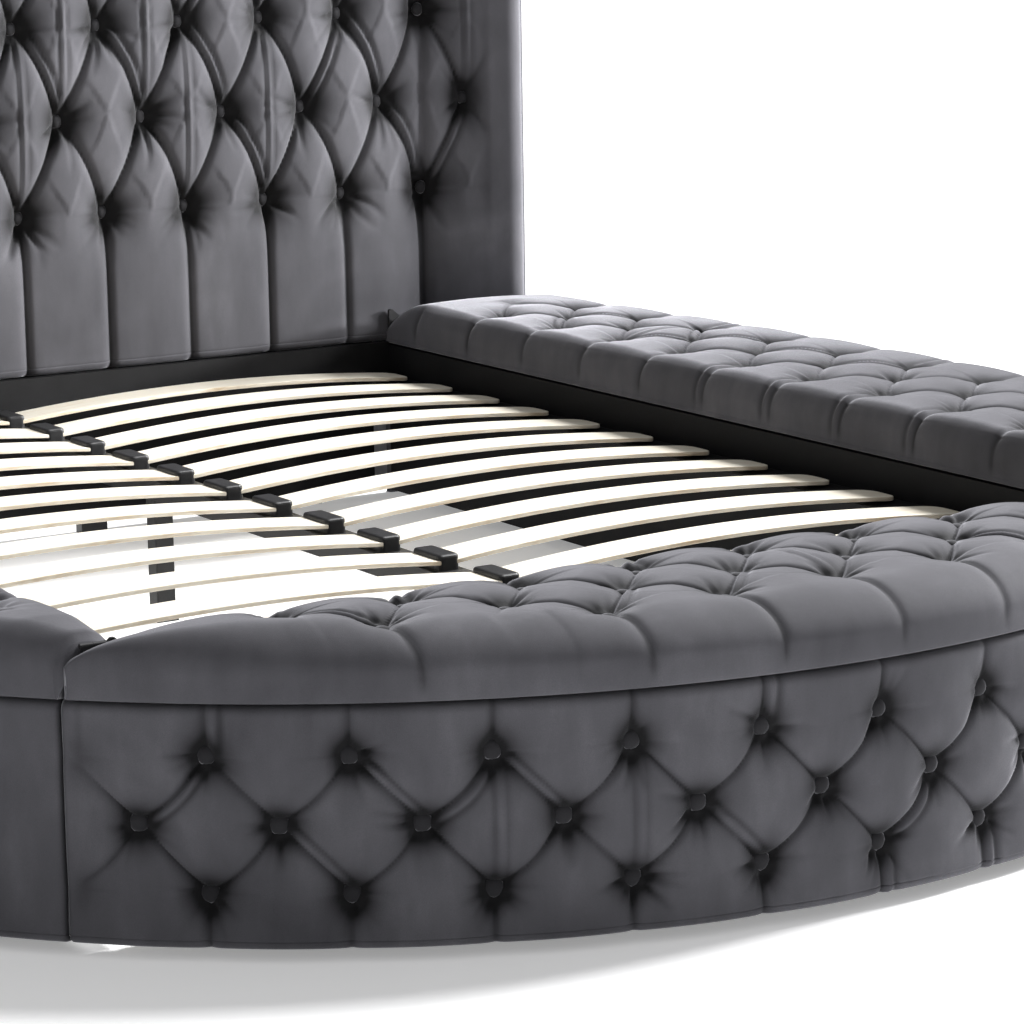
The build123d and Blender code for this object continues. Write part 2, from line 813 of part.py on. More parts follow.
with BuildPart() as lid_buttons_foot:
    for row in range(pad_rows):
        share = pad_row_share * (1 + row)
        for half in range(-2 * foot_steps, 2 * foot_steps + 1):
            x = half * foot_pad_column / 2
            if (half + row) % 2 == 0 and abs(x) < nose_x and foot_pad_width(x) > 3 * pad_height:
                seat = (x, foot_pad_face - share * foot_pad_width(x), pad_button_height(share))
                add(stud(seat, (0, 0, 1)))
save("foot_lid_buttons", lid_buttons_foot.part)

# Rubber bumpers that carry the closed lids on the box rims
bumper_places = []
for share in foot_shares:
    x, y = outline(seam_run + share * (run_at_end() - seam_run), panel_inset + panel_board / 2)
    bumper_places += [(x, y), (-x, y)]
for share in (-front_share, 0, front_share):
    bumper_places.append(outline(share * seam_run, panel_inset + panel_board / 2))
with BuildPart() as lid_bumpers:
    with BuildSketch(Plane.XY.offset(box_top)):
        with Locations(bumper_places):
            Rectangle(bumper_width, bumper_width)
    extrude(amount=lid_gap - bumper_clearance)
save("lid_bumpers", lid_bumpers.part)

# Pivot hardware between the pads: fixed plates on the boxes, moving plates with stub pins on the side lids
pivot_x = recess_half_width + side_axis_inset
plate_round = pivot_radius + plate_margin
plate_edge = pivot_x - plate_round
plate_far = outline_x(foot_y, panel_inset) - ledge_end
knuckle_start = pivot_x + 2 * plate_round
knuckle_end = knuckle_start + knuckle_length
hinge_end = knuckle_end + knuckle_gap + knuckle_length


def pivot_plate(back_y, thickness, low, far, hole=0.0, pin=0.0):
    """Upright plate across the bed round a side pivot, with a hole or a stub pin, for the right side."""
    face = Plane((0, back_y, 0), x_dir=(1, 0, 0), z_dir=(0, -1, 0))
    with BuildPart() as plate:
        with BuildSketch(face):
            with BuildLine():
                top = axis_z + plate_round
                cut = plate_round / 2
                Polyline(
                    (plate_edge, low), (far, low), (far, axis_z - 2 * plate_round),
                    (pivot_x + plate_round, axis_z + cut), (pivot_x + cut, top), (pivot_x - cut, top),
                    (plate_edge, axis_z + cut), close=True,
                )
            make_face()
            if hole:
                with Locations((pivot_x, axis_z)):
                    Circle(hole, mode=Mode.SUBTRACT)
        extrude(amount=thickness)
        if pin:
            with BuildSketch(face.offset(thickness)):
                with Locations((pivot_x, axis_z)):
                    Circle(pivot_radius)
            extrude(amount=pin)
    return plate.part


pivot_hole = pivot_radius + running_clearance
with BuildPart() as corner_plates:
    plate_back = foot_y + plate_thickness / 2
    add(pivot_plate(plate_back, plate_thickness, plate_bottom, plate_far, hole=pivot_hole))
    with BuildSketch(Plane((0, plate_back, 0), x_dir=(1, 0, 0), z_dir=(0, -1, 0))):
        with BuildLine():
            low = box_top + lid_gap / 2
            Polyline(
                (plate_far, low), (knuckle_end, low), (knuckle_end, axis_z), (knuckle_start, axis_z),
                (plate_far, low + end_reach / 2), close=True,
            )
        make_face()
    extrude(amount=plate_thickness)
    with BuildSketch(Plane((knuckle_start, foot_axis_y, axis_z), x_dir=(0, 1, 0), z_dir=(1, 0, 0))):
        Circle(knuckle_radius)
    extrude(amount=knuckle_length)
    with BuildSketch(Plane((knuckle_start, foot_axis_y, axis_z), x_dir=(0, 1, 0), z_dir=(1, 0, 0))):
        Circle(hinge_pin_radius)
    extrude(amount=knuckle_length, mode=Mode.SUBTRACT)
    mirror(about=Plane.YZ)
save("corner_pivot_plates", corner_plates.part)

with BuildPart() as head_plates:
    head_plate_y = side_pad_end + leaf_thickness + pivot_gap + plate_thickness
    add(pivot_plate(head_plate_y, plate_thickness, plate_bottom, plate_far, hole=pivot_hole))
    mirror(about=Plane.YZ)
save("head_pivot_plates", head_plates.part)

with BuildPart() as foot_hinge_pins:
    with BuildSketch(Plane((knuckle_start, foot_axis_y, axis_z), x_dir=(0, 1, 0), z_dir=(1, 0, 0))):
        Circle(hinge_pin_radius)
    extrude(amount=hinge_end - knuckle_start)
    mirror(about=Plane.YZ)
save("foot_hinge_pins", foot_hinge_pins.part)

moving_start = knuckle_end + knuckle_gap
with BuildPart() as foot_hinge_leaves:
    leaf_back = foot_pad_face + leaf_thickness
    with BuildSketch(Plane((0, leaf_back, 0), x_dir=(1, 0, 0), z_dir=(0, -1, 0))):
        with BuildLine():
            shoulder = axis_z - 2 * knuckle_radius
            Polyline(
                (knuckle_start, lid_bottom), (hinge_end, lid_bottom), (hinge_end, axis_z),
                (moving_start, axis_z), (moving_start, shoulder), (knuckle_start, shoulder), close=True,
            )
        make_face()
    extrude(amount=leaf_thickness)
    with BuildSketch(Plane((moving_start, foot_axis_y, axis_z), x_dir=(0, 1, 0), z_dir=(1, 0, 0))):
        Circle(knuckle_radius)
    extrude(amount=knuckle_length)
    with BuildSketch(Plane((moving_start, foot_axis_y, axis_z), x_dir=(0, 1, 0), z_dir=(1, 0, 0))):
        Circle(hinge_pin_radius + running_clearance)
    extrude(amount=knuckle_length, mode=Mode.SUBTRACT)
    mirror(about=Plane.YZ)
save("foot_hinge_leaves", foot_hinge_leaves.part)

with BuildPart() as lid_pivots_side:
    reach = leaf_thickness + pivot_gap + plate_thickness + pivot_gap
    add(pivot_plate(side_pad_start, leaf_thickness, lid_bottom, plate_far, pin=reach - leaf_thickness))
    add(pivot_plate(side_pad_end + leaf_thickness, leaf_thickness, lid_bottom, plate_far))
    pin_face = Plane((pivot_x, side_pad_end + leaf_thickness, axis_z), x_dir=(1, 0, 0), z_dir=(0, 1, 0))
    with BuildSketch(pin_face):
        Circle(pivot_radius)
    extrude(amount=reach - leaf_thickness)
save_both("lid_pivots", lid_pivots_side.part)
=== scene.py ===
"""Looks of the round storage bed: tufted velvet, bowed slats, black boards, floor, light and camera.

Metres, in the frame of the CAD: X across the bed, Y towards the headboard, Z up.
"""

import math

import bmesh
import bpy
import numpy as np
from mathutils import Matrix, Vector
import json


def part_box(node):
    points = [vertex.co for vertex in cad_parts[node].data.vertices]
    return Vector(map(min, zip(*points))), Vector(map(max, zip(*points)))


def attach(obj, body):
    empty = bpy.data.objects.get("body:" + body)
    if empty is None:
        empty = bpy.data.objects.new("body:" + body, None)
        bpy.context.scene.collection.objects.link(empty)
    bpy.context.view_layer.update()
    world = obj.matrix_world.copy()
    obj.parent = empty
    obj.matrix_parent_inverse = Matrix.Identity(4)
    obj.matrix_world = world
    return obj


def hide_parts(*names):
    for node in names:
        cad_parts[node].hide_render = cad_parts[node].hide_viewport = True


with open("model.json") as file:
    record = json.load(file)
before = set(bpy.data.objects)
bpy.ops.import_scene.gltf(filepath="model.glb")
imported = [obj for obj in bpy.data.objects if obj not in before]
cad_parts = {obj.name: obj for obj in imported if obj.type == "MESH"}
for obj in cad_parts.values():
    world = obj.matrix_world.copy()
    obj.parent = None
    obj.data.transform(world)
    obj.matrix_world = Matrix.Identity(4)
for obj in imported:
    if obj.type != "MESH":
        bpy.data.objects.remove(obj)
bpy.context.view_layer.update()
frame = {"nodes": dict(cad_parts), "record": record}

# Recess and plan outline, as in the CAD
RECESS_HALF = 0.785
RECESS_LENGTH = 2.116
HALF_WIDTH = 1.188
HEAD_HALF = 1.080
FOOT_DEPTH = 0.372
FRONT_RADIUS = 1.180
HEAD_DEPTH = 0.097
FOOT_Y = FOOT_DEPTH - (FOOT_DEPTH + RECESS_LENGTH + HEAD_DEPTH) / 2
HEAD_Y = FOOT_Y + RECESS_LENGTH
FACE_Y = HEAD_Y + 0.008
FRONT_CENTRE = FOOT_Y - FOOT_DEPTH + FRONT_RADIUS
SEAM_ANGLE = math.acos((FRONT_CENTRE - FOOT_Y) / FRONT_RADIUS)
SEAM_X = FRONT_RADIUS * math.sin(SEAM_ANGLE)
CORNER_RADIUS = (HALF_WIDTH - SEAM_X) / (1 - math.sin(SEAM_ANGLE))
CORNER_X = HALF_WIDTH - CORNER_RADIUS
CORNER_Y = FOOT_Y + CORNER_RADIUS * math.cos(SEAM_ANGLE)
NARROWING = HALF_WIDTH - HEAD_HALF
SIDE_RADIUS = (NARROWING**2 + (HEAD_Y - CORNER_Y) ** 2) / (2 * NARROWING)
SEAM_RUN = FRONT_RADIUS * SEAM_ANGLE
CORNER_RUN = SEAM_RUN + CORNER_RADIUS * (math.pi / 2 - SEAM_ANGLE)

# Heights and tufting, as in the CAD
SKIRT_BOTTOM = 0.014
BOX_TOP = 0.292
LID_BOTTOM = 0.295
PAD_BOTTOM = 0.311
PAD_HEIGHT = 0.059
PAD_CROWN = 0.009
PAD_TUFT = 0.026
PAD_ROWS = 3
PAD_ROW_SHARE = 0.235
COVER_DEPTH = 0.034
COVER_COLUMN = 0.160
COVER_ROW = 0.079
COVER_FIRST = 0.076
COVER_TUFT = 0.023
HEAD_COLUMN = 0.158
HEAD_ROW = 0.161
HEAD_FIRST = 0.570
HEAD_TUFT = 0.034
HEAD_TOP = 1.240
HEAD_BOTTOM = 0.298
HEAD_PAD = 0.060
HEAD_CORE = 0.024
FLAT_HALF = 5.5 * HEAD_COLUMN
WING_COLUMN = 6.0
WING_WIDTH = 0.190
WING_ANGLE = math.asin(0.070 / WING_WIDTH)
HEAD_END = FLAT_HALF + WING_WIDTH
END_GAP = 0.010
END_SLOPE = 0.3
PIVOT_PLATE = 0.003
PIVOT_GAP = 0.0005
HINGE_LEAF = 0.002
KNUCKLE_RADIUS = 0.003
REST_GAP = 0.0003

# Buttons, and how deep they sit as shares of the tufting's depth
BUTTON_RADIUS = 0.0125
BUTTON_SEAT = {"cover": 0.78, "pad": 0.80, "head": 0.86}
WRINKLES_PER_BUTTON = 11

# Keeps two faces from lying in one plane
HAIR = 0.0005


# Shaders


class Value:
    """Output of a shader node that takes part in sums and products as maths nodes."""

    def __init__(self, tree, socket):
        self.tree = tree
        self.socket = socket

    def maths(self, operation, first, second=None):
        node = self.tree.nodes.new("ShaderNodeMath")
        node.operation = operation
        for slot, item in zip(node.inputs, (first, second)):
            if isinstance(item, Value):
                self.tree.links.new(item.socket, slot)
            elif item is not None:
                slot.default_value = item
        return Value(self.tree, node.outputs[0])

    def __add__(self, other):
        return self.maths("ADD", self, other)

    def __radd__(self, other):
        return self.maths("ADD", other, self)

    def __sub__(self, other):
        return self.maths("SUBTRACT", self, other)

    def __rsub__(self, other):
        return self.maths("SUBTRACT", other, self)

    def __mul__(self, other):
        return self.maths("MULTIPLY", self, other)

    def __rmul__(self, other):
        return self.maths("MULTIPLY", other, self)


class Finish:
    """A material on the principled shader."""

    def __init__(self, name, **constants):
        self.material = bpy.data.materials.new(name)
        self.material.use_nodes = True
        self.tree = self.material.node_tree
        self.shader = self.tree.nodes["Principled BSDF"]
        for key, item in constants.items():
            self.shader.inputs[key.replace("_", " ")].default_value = item

    def node(self, kind, output=0, settings=None, **inputs):
        """One output of a new node. Inputs are named with _ for a space."""
        node = self.tree.nodes.new(f"ShaderNode{kind}")
        for key, item in (settings or {}).items():
            setattr(node, key, item)
        for key, item in inputs.items():
            slot = node.inputs[key.replace("_", " ")]
            if isinstance(item, Value):
                self.tree.links.new(item.socket, slot)
            else:
                slot.default_value = item
        return Value(self.tree, node.outputs[output])

    def place(self, stretch=(1, 1, 1)):
        """Object coordinates, stretched."""
        at = self.node("TexCoord", "Object")
        return self.node("Mapping", Vector=at, Scale=stretch)

    def noise(self, scale, detail=2.0, stretch=(1, 1, 1), distortion=0.0):
        at = self.place(stretch)
        return self.node("TexNoise", Vector=at, Scale=scale, Detail=detail, Distortion=distortion)

    def ramp(self, factor, *stops):
        """Colour ramp through (place, colour) stops."""
        node = self.tree.nodes.new("ShaderNodeValToRGB")
        self.tree.links.new(factor.socket, node.inputs[0])
        points = node.color_ramp.elements
        while len(points) < len(stops):
            points.new(0.5)
        for point, (at, colour) in zip(points, stops):
            point.position = at
            point.color = (*colour, 1)
        return Value(self.tree, node.outputs[0])

    def darkened(self, colour, amount):
        """Colour multiplied by a value."""
        node = self.tree.nodes.new("ShaderNodeVectorMath")
        node.operation = "SCALE"
        self.tree.links.new(colour.socket, node.inputs[0])
        self.tree.links.new(amount.socket, node.inputs["Scale"])
        return Value(self.tree, node.outputs[0])

    def wire(self, **inputs):
        for key, item in inputs.items():
            self.tree.links.new(item.socket, self.shader.inputs[key.replace("_", " ")])
        return self

    def bump(self, height, strength, distance):
        return self.wire(Normal=self.node("Bump", Height=height, Strength=strength, Distance=distance))


def velvet():
    """Charcoal velvet: soft nap patches, brushed streaks, a fine pile, and painted shade that darkens it in
    the folds.
    """
    f = Finish("velvet_charcoal", Sheen_Weight=0.48, Sheen_Roughness=0.36, Sheen_Tint=(0.93, 0.93, 1.0, 1))
    f.shader.inputs["Specular IOR Level"].default_value = 0.15
    nap = f.noise(4.5, 3.0, distortion=0.6)
    streak = f.noise(26.0, 3.0, stretch=(1, 1, 0.35))
    pile = f.noise(1400.0, 1.0)
    fold = f.node("Attribute", "Fac", {"attribute_name": "fold"})
    tone = 0.46 * nap + 0.30 * streak + 0.24 * pile
    dark, middle, light = (0.045, 0.0445, 0.0505), (0.076, 0.075, 0.084), (0.126, 0.124, 0.137)
    colour = f.ramp(tone, (0.30, dark), (0.52, middle), (0.72, light))
    # Painted shade: the fold attribute darkens the base colour in creases, button pits, wrinkles and seams
    f.wire(Base_Color=f.darkened(colour, 1.0 - 0.93 * fold), Roughness=0.70 + 0.22 * streak)
    return f.bump(0.7 * pile + 0.5 * f.noise(90.0, 3.0), 0.25, 0.0012).material


def cream_wood():
    """Pale lacquered plywood: long faint grain, and thin plies on the edges."""
    f = Finish("slat_plywood", Coat_Weight=0.12, Coat_Roughness=0.3)
    grain = f.noise(9.0, 6.0, stretch=(1, 22, 8), distortion=0.5)
    pores = f.noise(60.0, 4.0, stretch=(1, 14, 10))
    layer = f.node("Attribute", "Fac", {"attribute_name": "layer"})
    side = f.node("Attribute", "Fac", {"attribute_name": "side"})
    plies = layer.maths("SINE", layer * 31.4)
    tone = 0.72 * grain + 0.28 * pores - 0.06 * side * plies - 0.12 * side
    colour = f.ramp(tone, (0.16, (0.58, 0.42, 0.25)), (0.44, (0.90, 0.83, 0.69)), (0.72, (0.95, 0.91, 0.81)))
    f.wire(Base_Color=colour, Roughness=0.42 + 0.22 * pores)
    return f.bump(grain + 0.5 * pores, 0.10, 0.0006).material


def hard(name, dark, light, roughness, scale, bump, metallic=0.0, shine=0.5):
    """Painted, moulded or raw board finish from two tones of noise, with marks in its roughness."""
    f = Finish(name, Metallic=metallic)
    f.shader.inputs["Specular IOR Level"].default_value = shine
    broad = f.noise(scale * 0.08, 3.0)
    fine = f.noise(scale, 4.0)
    colour = f.ramp(0.5 * broad + 0.5 * fine, (0.35, dark), (0.65, light))
    f.wire(Base_Color=colour, Roughness=roughness + 0.25 * (fine - 0.5) + 0.15 * (broad - 0.5))
    return f.bump(fine, bump, 0.0006).material


def backing():
    """Black non-woven backing cloth with its spotted weld pattern."""
    f = Finish("backing_cloth", Sheen_Weight=0.2)
    spots = f.node("TexVoronoi", "Distance", Vector=f.place(), Scale=420.0)
    fibres = f.noise(700.0, 3.0)
    colour = f.ramp(0.5 * spots + 0.5 * fibres, (0.25, (0.012, 0.012, 0.013)), (0.75, (0.040, 0.040, 0.043)))
    f.wire(Base_Color=colour, Roughness=0.80 + 0.15 * fibres)
    return f.bump(spots + fibres, 0.3, 0.0006).material


FINISHES = {
    "velvet": velvet(),
    "backing": backing(),
    "slat_wood": cream_wood(),
    "black_board": hard("black_board", (0.003, 0.003, 0.0035), (0.008, 0.008, 0.009), 0.62, 300.0, 0.12,
                        shine=0.2),
    "board": hard("raw_board", (0.34, 0.24, 0.14), (0.52, 0.40, 0.26), 0.75, 260.0, 0.35),
    "black_metal": hard("black_powder_coat", (0.008, 0.008, 0.009), (0.018, 0.018, 0.019), 0.48, 900.0, 0.25),
    "black_plastic": hard("black_moulding", (0.008, 0.008, 0.009), (0.020, 0.020, 0.021), 0.42, 1200.0, 0.18),
    "rubber": hard("rubber", (0.012, 0.012, 0.012), (0.022, 0.022, 0.022), 0.85, 700.0, 0.2),
    # Steel hardware made near-black so that the plates in the crack between the pads read as shadow: painted
    # shade
    "steel": hard("steel_darkened_as_shade", (0.010, 0.010, 0.011), (0.022, 0.022, 0.024), 0.55, 500.0, 0.15,
                  metallic=0.5),
}
BLACKENED = ("headboard_core", "head_board_blocks")
for entry in frame["record"]["subparts"]:
    mesh = frame["nodes"][entry["node"]].data
    mesh.materials.clear()
    slot = "black_board" if entry["node"] in BLACKENED else entry["material_slot"]
    mesh.materials.append(FINISHES[slot])


# Plan outline and the headboard's face line


def outline(run, inset=0.0):
    """Points of the boxes' plan outline at distances along it from the middle of the foot, moved inwards."""
    reach = np.abs(run)
    front = reach / FRONT_RADIUS
    corner = SEAM_ANGLE + (reach - SEAM_RUN) / CORNER_RADIUS
    side = (reach - CORNER_RUN) / SIDE_RADIUS
    x = np.where(reach <= SEAM_RUN, (FRONT_RADIUS - inset) * np.sin(front),
                 np.where(reach <= CORNER_RUN, CORNER_X + (CORNER_RADIUS - inset) * np.sin(corner),
                          HALF_WIDTH - SIDE_RADIUS + (SIDE_RADIUS - inset) * np.cos(side)))
    y = np.where(reach <= SEAM_RUN, FRONT_CENTRE - (FRONT_RADIUS - inset) * np.cos(front),
                 np.where(reach <= CORNER_RUN, CORNER_Y - (CORNER_RADIUS - inset) * np.cos(corner),
                          CORNER_Y + (SIDE_RADIUS - inset) * np.sin(side)))
    return np.copysign(x, run), y


def outline_x(y):
    """Half width of the plan at places along the bed."""
    front = np.sqrt(np.maximum(FRONT_RADIUS**2 - (FRONT_CENTRE - y) ** 2, 0))
    corner = CORNER_X + np.sqrt(np.maximum(CORNER_RADIUS**2 - (CORNER_Y - y) ** 2, 0))
    side = HALF_WIDTH - SIDE_RADIUS + np.sqrt(SIDE_RADIUS**2 - (y - CORNER_Y) ** 2)
    return np.where(y <= FOOT_Y, front, np.where(y <= CORNER_Y, corner, side))


def end_y(x):
    """Head end of the side boxes and lids, slanted in front of the wings."""
    return FACE_Y - END_GAP - END_SLOPE * (x - RECESS_HALF)


def run_at_end():
    """Run along the outline where it meets the slanted head end."""
    y = end_y(HALF_WIDTH)
    for _ in range(20):
        y = end_y(outline_x(y))
    return CORNER_RUN + SIDE_RADIUS * math.asin((y - CORNER_Y) / SIDE_RADIUS)


def head_line(run, inset):
    """Points of the headboard's face line, moved back by insets."""
    reach = np.abs(run)
    along = reach - FLAT_HALF
    flat = along < 0
    x = np.where(flat, reach, FLAT_HALF + along * math.cos(WING_ANGLE) + inset * math.sin(WING_ANGLE))
    y = np.where(flat, FACE_Y + inset, FACE_Y - along * math.sin(WING_ANGLE) + inset * math.cos(WING_ANGLE))
    miter = FLAT_HALF + inset * math.tan(WING_ANGLE / 2)
    x = np.where(flat, np.minimum(x, miter), np.maximum(x, miter))
    return np.copysign(x, run), y


def round_off(distance, reach, drop=None):
    """Fall of a rounded edge at distances from it, down to nothing at its reach."""
    left = 1 - np.clip(distance / reach, 0, 1)
    return (drop or reach) * (1 - np.sqrt(1 - left**2))


# Tufting


class Field:
    """A field of staggered buttons on a sheet of fabric over foam.

    Columns and rows count from a button of the first row, and each next row is shifted by half a column.
    """

    def __init__(self, column, row, rows, bow, seed, dimple=0.023):
        self.column = column
        self.row = row
        self.rows = rows
        self.bow = bow
        self.dimple = dimple
        self.rng = np.random.default_rng(seed)
        self.table = self.rng.random((64, 64, 4))

    def chance(self, a, b, which):
        """Steady random share of a place in the field."""
        return self.table[np.mod(a.astype(int), 64), np.mod(b.astype(int), 64), which]

    def depth(self, c, r, rows=None):
        """Depth of the fabric, from 0 on a pillow's crest to 1 under a button, and painted shade by nearness
        to a fold.
        """
        rows = rows or self.rows
        inside = np.clip(r, 0, rows - 1)
        beyond = np.abs(r - inside)
        within = beyond == 0
        p = c + inside / 2
        q = c - inside / 2

        # Diagonal creases, bowed and swayed a little between the buttons
        sway = 0.022 * np.sin(2.1 * c + 1.3 * r) * within
        across_p, across_q = np.abs(np.sin(math.pi * p)), np.abs(np.sin(math.pi * q))
        p2 = p - self.bow[0] * across_q * within + sway * across_p * across_q
        q2 = q - self.bow[1] * across_p * within - sway * across_p * across_q
        dp = (p2 + 0.5) % 1 - 0.5
        dq = (q2 + 0.5) % 1 - 0.5
        grooves = np.maximum(self.groove(dp), self.groove(dq))
        groove_strength = 0.65 + 0.35 * self.chance(np.floor(p), np.floor(q) + 5, 1)

        # Pillows between them, of unequal fullness, and flat channels beyond the last row
        sp, sq = np.abs(np.sin(math.pi * dp)), np.abs(np.sin(math.pi * dq))
        puffed = 0.94 + 0.12 * self.chance(np.floor(p), np.floor(q), 0)
        swell = np.where(within, 0.27, 0.09 + 0.18 * np.exp(-4 * beyond))
        body = swell * (1 - puffed * (sp * sq) ** 0.42)

        # Funnels under the buttons
        along = ((dp + dq) / 2) * self.column
        aside = np.where(within, (dp - dq) * self.row, beyond * self.row)
        gap = np.hypot(along, aside)
        funnel = np.exp(-((gap / self.dimple) ** 1.25))

        # Second folds beside some of the creases
        lip_p = self.pleat(dp, p, q, 1) * across_q ** 0.7
        lip_q = self.pleat(dq, q, p, 2) * across_p ** 0.7
        lip_c = self.pleat(dp, c, 0 * c + np.sign(r - inside), 3) * np.clip(beyond * 2.5, 0, 1)
        lips = np.where(within, lip_p + lip_q, lip_c)

        # Upright ridges in some of the pillows that have a button above and below
        cell = self.chance(np.floor(p) + 7, np.floor(q), 3)
        middle = r - np.floor(p) + np.floor(q)
        aside = c - (np.floor(p) + np.floor(q) + 1) / 2
        held = within & (cell > 0.62) & (np.abs(np.floor(p) - np.floor(q) - (rows - 1) / 2) <= (rows - 3) / 2)
        ridges = ((1, 0), (-0.7, 0.045), (0.8, 0.090))
        drape = sum(sign * np.exp(-(((aside - shift) / 0.026) ** 2)) for sign, shift in ridges)
        drape = np.where(held, drape * (1 - middle**2), 0)

        deep = body + 0.24 * groove_strength * grooves + 0.54 * funnel + 0.12 * lips + 0.07 * drape
        # Painted shade, returned as the second value: darker in the creases, the pits under the buttons, the
        # pleats and the ridges' valleys
        crease_shade = np.maximum(self.groove(dp, 0.7), self.groove(dq, 0.7))
        pit = np.exp(-((gap / (1.05 * self.dimple)) ** 2))
        dark = 0.72 * groove_strength * crease_shade + 1.5 * pit + 0.45 * lips + 0.35 * np.maximum(drape, 0)
        return deep, np.clip(dark, 0, 1)

    def groove(self, d, share=1.0):
        """Fold line, steep on one side and rolled on the other."""
        return np.exp(-(np.abs(d) / (share * np.where(d > 0, 0.030, 0.048))) ** 1.3)

    def pleat(self, d, a, b, which):
        """A second narrow fold beside some creases, with a raised lip between them."""
        luck = self.chance(np.round(a), np.floor(b), which)
        shift = 0.080 + 0.035 * luck
        fold = np.exp(-(((d - shift) / 0.028) ** 2)) - 0.5 * np.exp(-(((d - shift / 2) / 0.026) ** 2))
        return np.where(luck > 0.72, fold, 0)

    def changing(self, c, r, rows):
        """Depth and painted fold shade where the number of rows changes along the piece."""
        parts = [self.depth(c, r, count) for count in range(1, self.rows + 1)]
        shares = [np.clip(1 - np.abs(rows - count), 0, 1) for count in range(1, self.rows + 1)]
        return tuple(sum(share * part[which] for share, part in zip(shares, parts)) for which in (0, 1))

    def buttons(self, first, last):
        """Column and row of each button between two columns."""
        return [(half / 2, row) for row in range(self.rows)
                for half in range(math.ceil(2 * first), math.floor(2 * last) + 1) if (half + row) % 2 == 0]

    def wrinkles(self, u, v, places, reach=0.066, deep=0.0030):
        """Depth of the thin wrinkles that fan out of each button, in metres."""
        total = np.zeros_like(u)
        for bu, bv in places:
            rows = np.flatnonzero((np.abs(u - bu) < reach).any(axis=1))
            if not len(rows):
                continue
            part = slice(rows[0], rows[-1] + 1)
            du, dv = u[part] - bu, v[part] - bv
            distance = np.hypot(du, dv)
            for _ in range(WRINKLES_PER_BUTTON):
                angle = self.rng.normal(-math.pi / 2, 1.1)
                length = self.rng.uniform(0.45, 1.0) * reach
                strength = deep * self.rng.uniform(0.3, 1.0)
                curl = self.rng.uniform(-4, 4)
                turned = angle + curl * distance
                ahead = du * np.cos(turned) + dv * np.sin(turned)
                aside = du * np.sin(turned) - dv * np.cos(turned)
                fade = np.clip((distance - 0.010) / 0.008, 0, 1)
                fade = fade * np.clip((length - distance) / (0.6 * length), 0, 1)
                width = 0.0026 + 0.045 * distance
                total[part] += np.where(ahead > 0, strength * fade * np.exp(-((aside / width) ** 2)), 0)
        return total


# Meshes


def wrapped(name, rings, body, slot="velvet", attributes=None, smooth=True):
    """Closed piece from an array of section rings: a grid rolled up along its seam, with its ends filled."""
    count, around = rings.shape[:2]
    rings = np.concatenate([rings, rings[:, :1]], axis=1)
    mesh = bpy.data.meshes.new(name)
    bm = bmesh.new()
    bmesh.ops.create_grid(bm, x_segments=around, y_segments=count - 1, size=1)
    bm.to_mesh(mesh)
    bm.free()
    mesh.vertices.foreach_set("co", rings.astype(np.float32).ravel())
    for key, values in (attributes or {}).items():
        values = np.concatenate([values, values[:, :1]], axis=1)
        attribute = mesh.attributes.new(key, "FLOAT", "POINT")
        attribute.data.foreach_set("value", values.astype(np.float32).ravel())
    bm = bmesh.new()
    bm.from_mesh(mesh)
    bm.verts.ensure_lookup_table()
    seam = [bm.verts[row * (around + 1) + side] for row in range(count) for side in (0, around)]
    bmesh.ops.remove_doubles(bm, verts=seam, dist=1e-6)
    bmesh.ops.holes_fill(bm, edges=[edge for edge in bm.edges if edge.is_boundary], sides=0)
    bmesh.ops.recalc_face_normals(bm, faces=bm.faces)
    bm.to_mesh(mesh)
    bm.free()
    return placed(name, mesh, body, slot, smooth)


def placed(name, mesh, body, slot, smooth=True):
    """Object of a mesh, shaded, finished and riding on a body."""
    piece = bpy.data.objects.new(name, mesh)
    bpy.context.scene.collection.objects.link(piece)
    mesh.polygons.foreach_set("use_smooth", [smooth] * len(mesh.polygons))
    mesh.materials.clear()
    mesh.materials.append(FINISHES[slot])
    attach(piece, body)
    return piece


def mirrored(piece, name, body):
    """Twin of a right-hand piece on the left."""
    mesh = piece.data.copy()
    mesh.name = name
    mesh.transform(Matrix.Scale(-1, 4, (1, 0, 0)))
    mesh.flip_normals()
    twin = bpy.data.objects.new(name, mesh)
    bpy.context.scene.collection.objects.link(twin)
    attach(twin, body)
    return twin


def arc(count, start, end):
    """Shares of a quarter turn's cosine and sine between two angles in degrees."""
    turn = np.radians(np.linspace(start, end, count))
    return np.cos(turn), np.sin(turn)


def low_round(bottom, edge, turns):
    """Heights and insets of a rounded lower edge. They run downwards, so the section folds back there."""
    cos, sin = arc(turns, 0, 90)
    return bottom + edge * (1 - cos[::-1][:-1]), edge * (1 - sin[::-1][:-1])


def high_round(top, edge, turns):
    """Heights and insets of a rounded upper edge."""
    cos, sin = arc(turns, 0, 90)
    return top - edge * (1 - sin[1:]), edge * (1 - cos[1:])


def stud_form():
    """Covered button: a low dome with a tucked rim, spun from its profile."""
    bm = bmesh.new()
    profile = ((0, 0.0062), (0.45, 0.0054), (0.80, 0.0032), (0.98, -0.0004), (0.85, -0.0034), (0, -0.0040))
    line = [bm.verts.new((BUTTON_RADIUS * share, 0, height)) for share, height in profile]
    edges = [bm.edges.new(pair) for pair in zip(line, line[1:])]
    bmesh.ops.spin(bm, geom=line + edges, cent=(0, 0, 0), axis=(0, 0, 1), dvec=(0, 0, 0),
                   angle=2 * math.pi, steps=12, use_merge=True)
    bmesh.ops.remove_doubles(bm, verts=bm.verts, dist=1e-6)
    bmesh.ops.recalc_face_normals(bm, faces=bm.faces)
    form = bpy.data.meshes.new("stud_form")
    bm.to_mesh(form)
    bm.free()
    return form


STUD = stud_form()


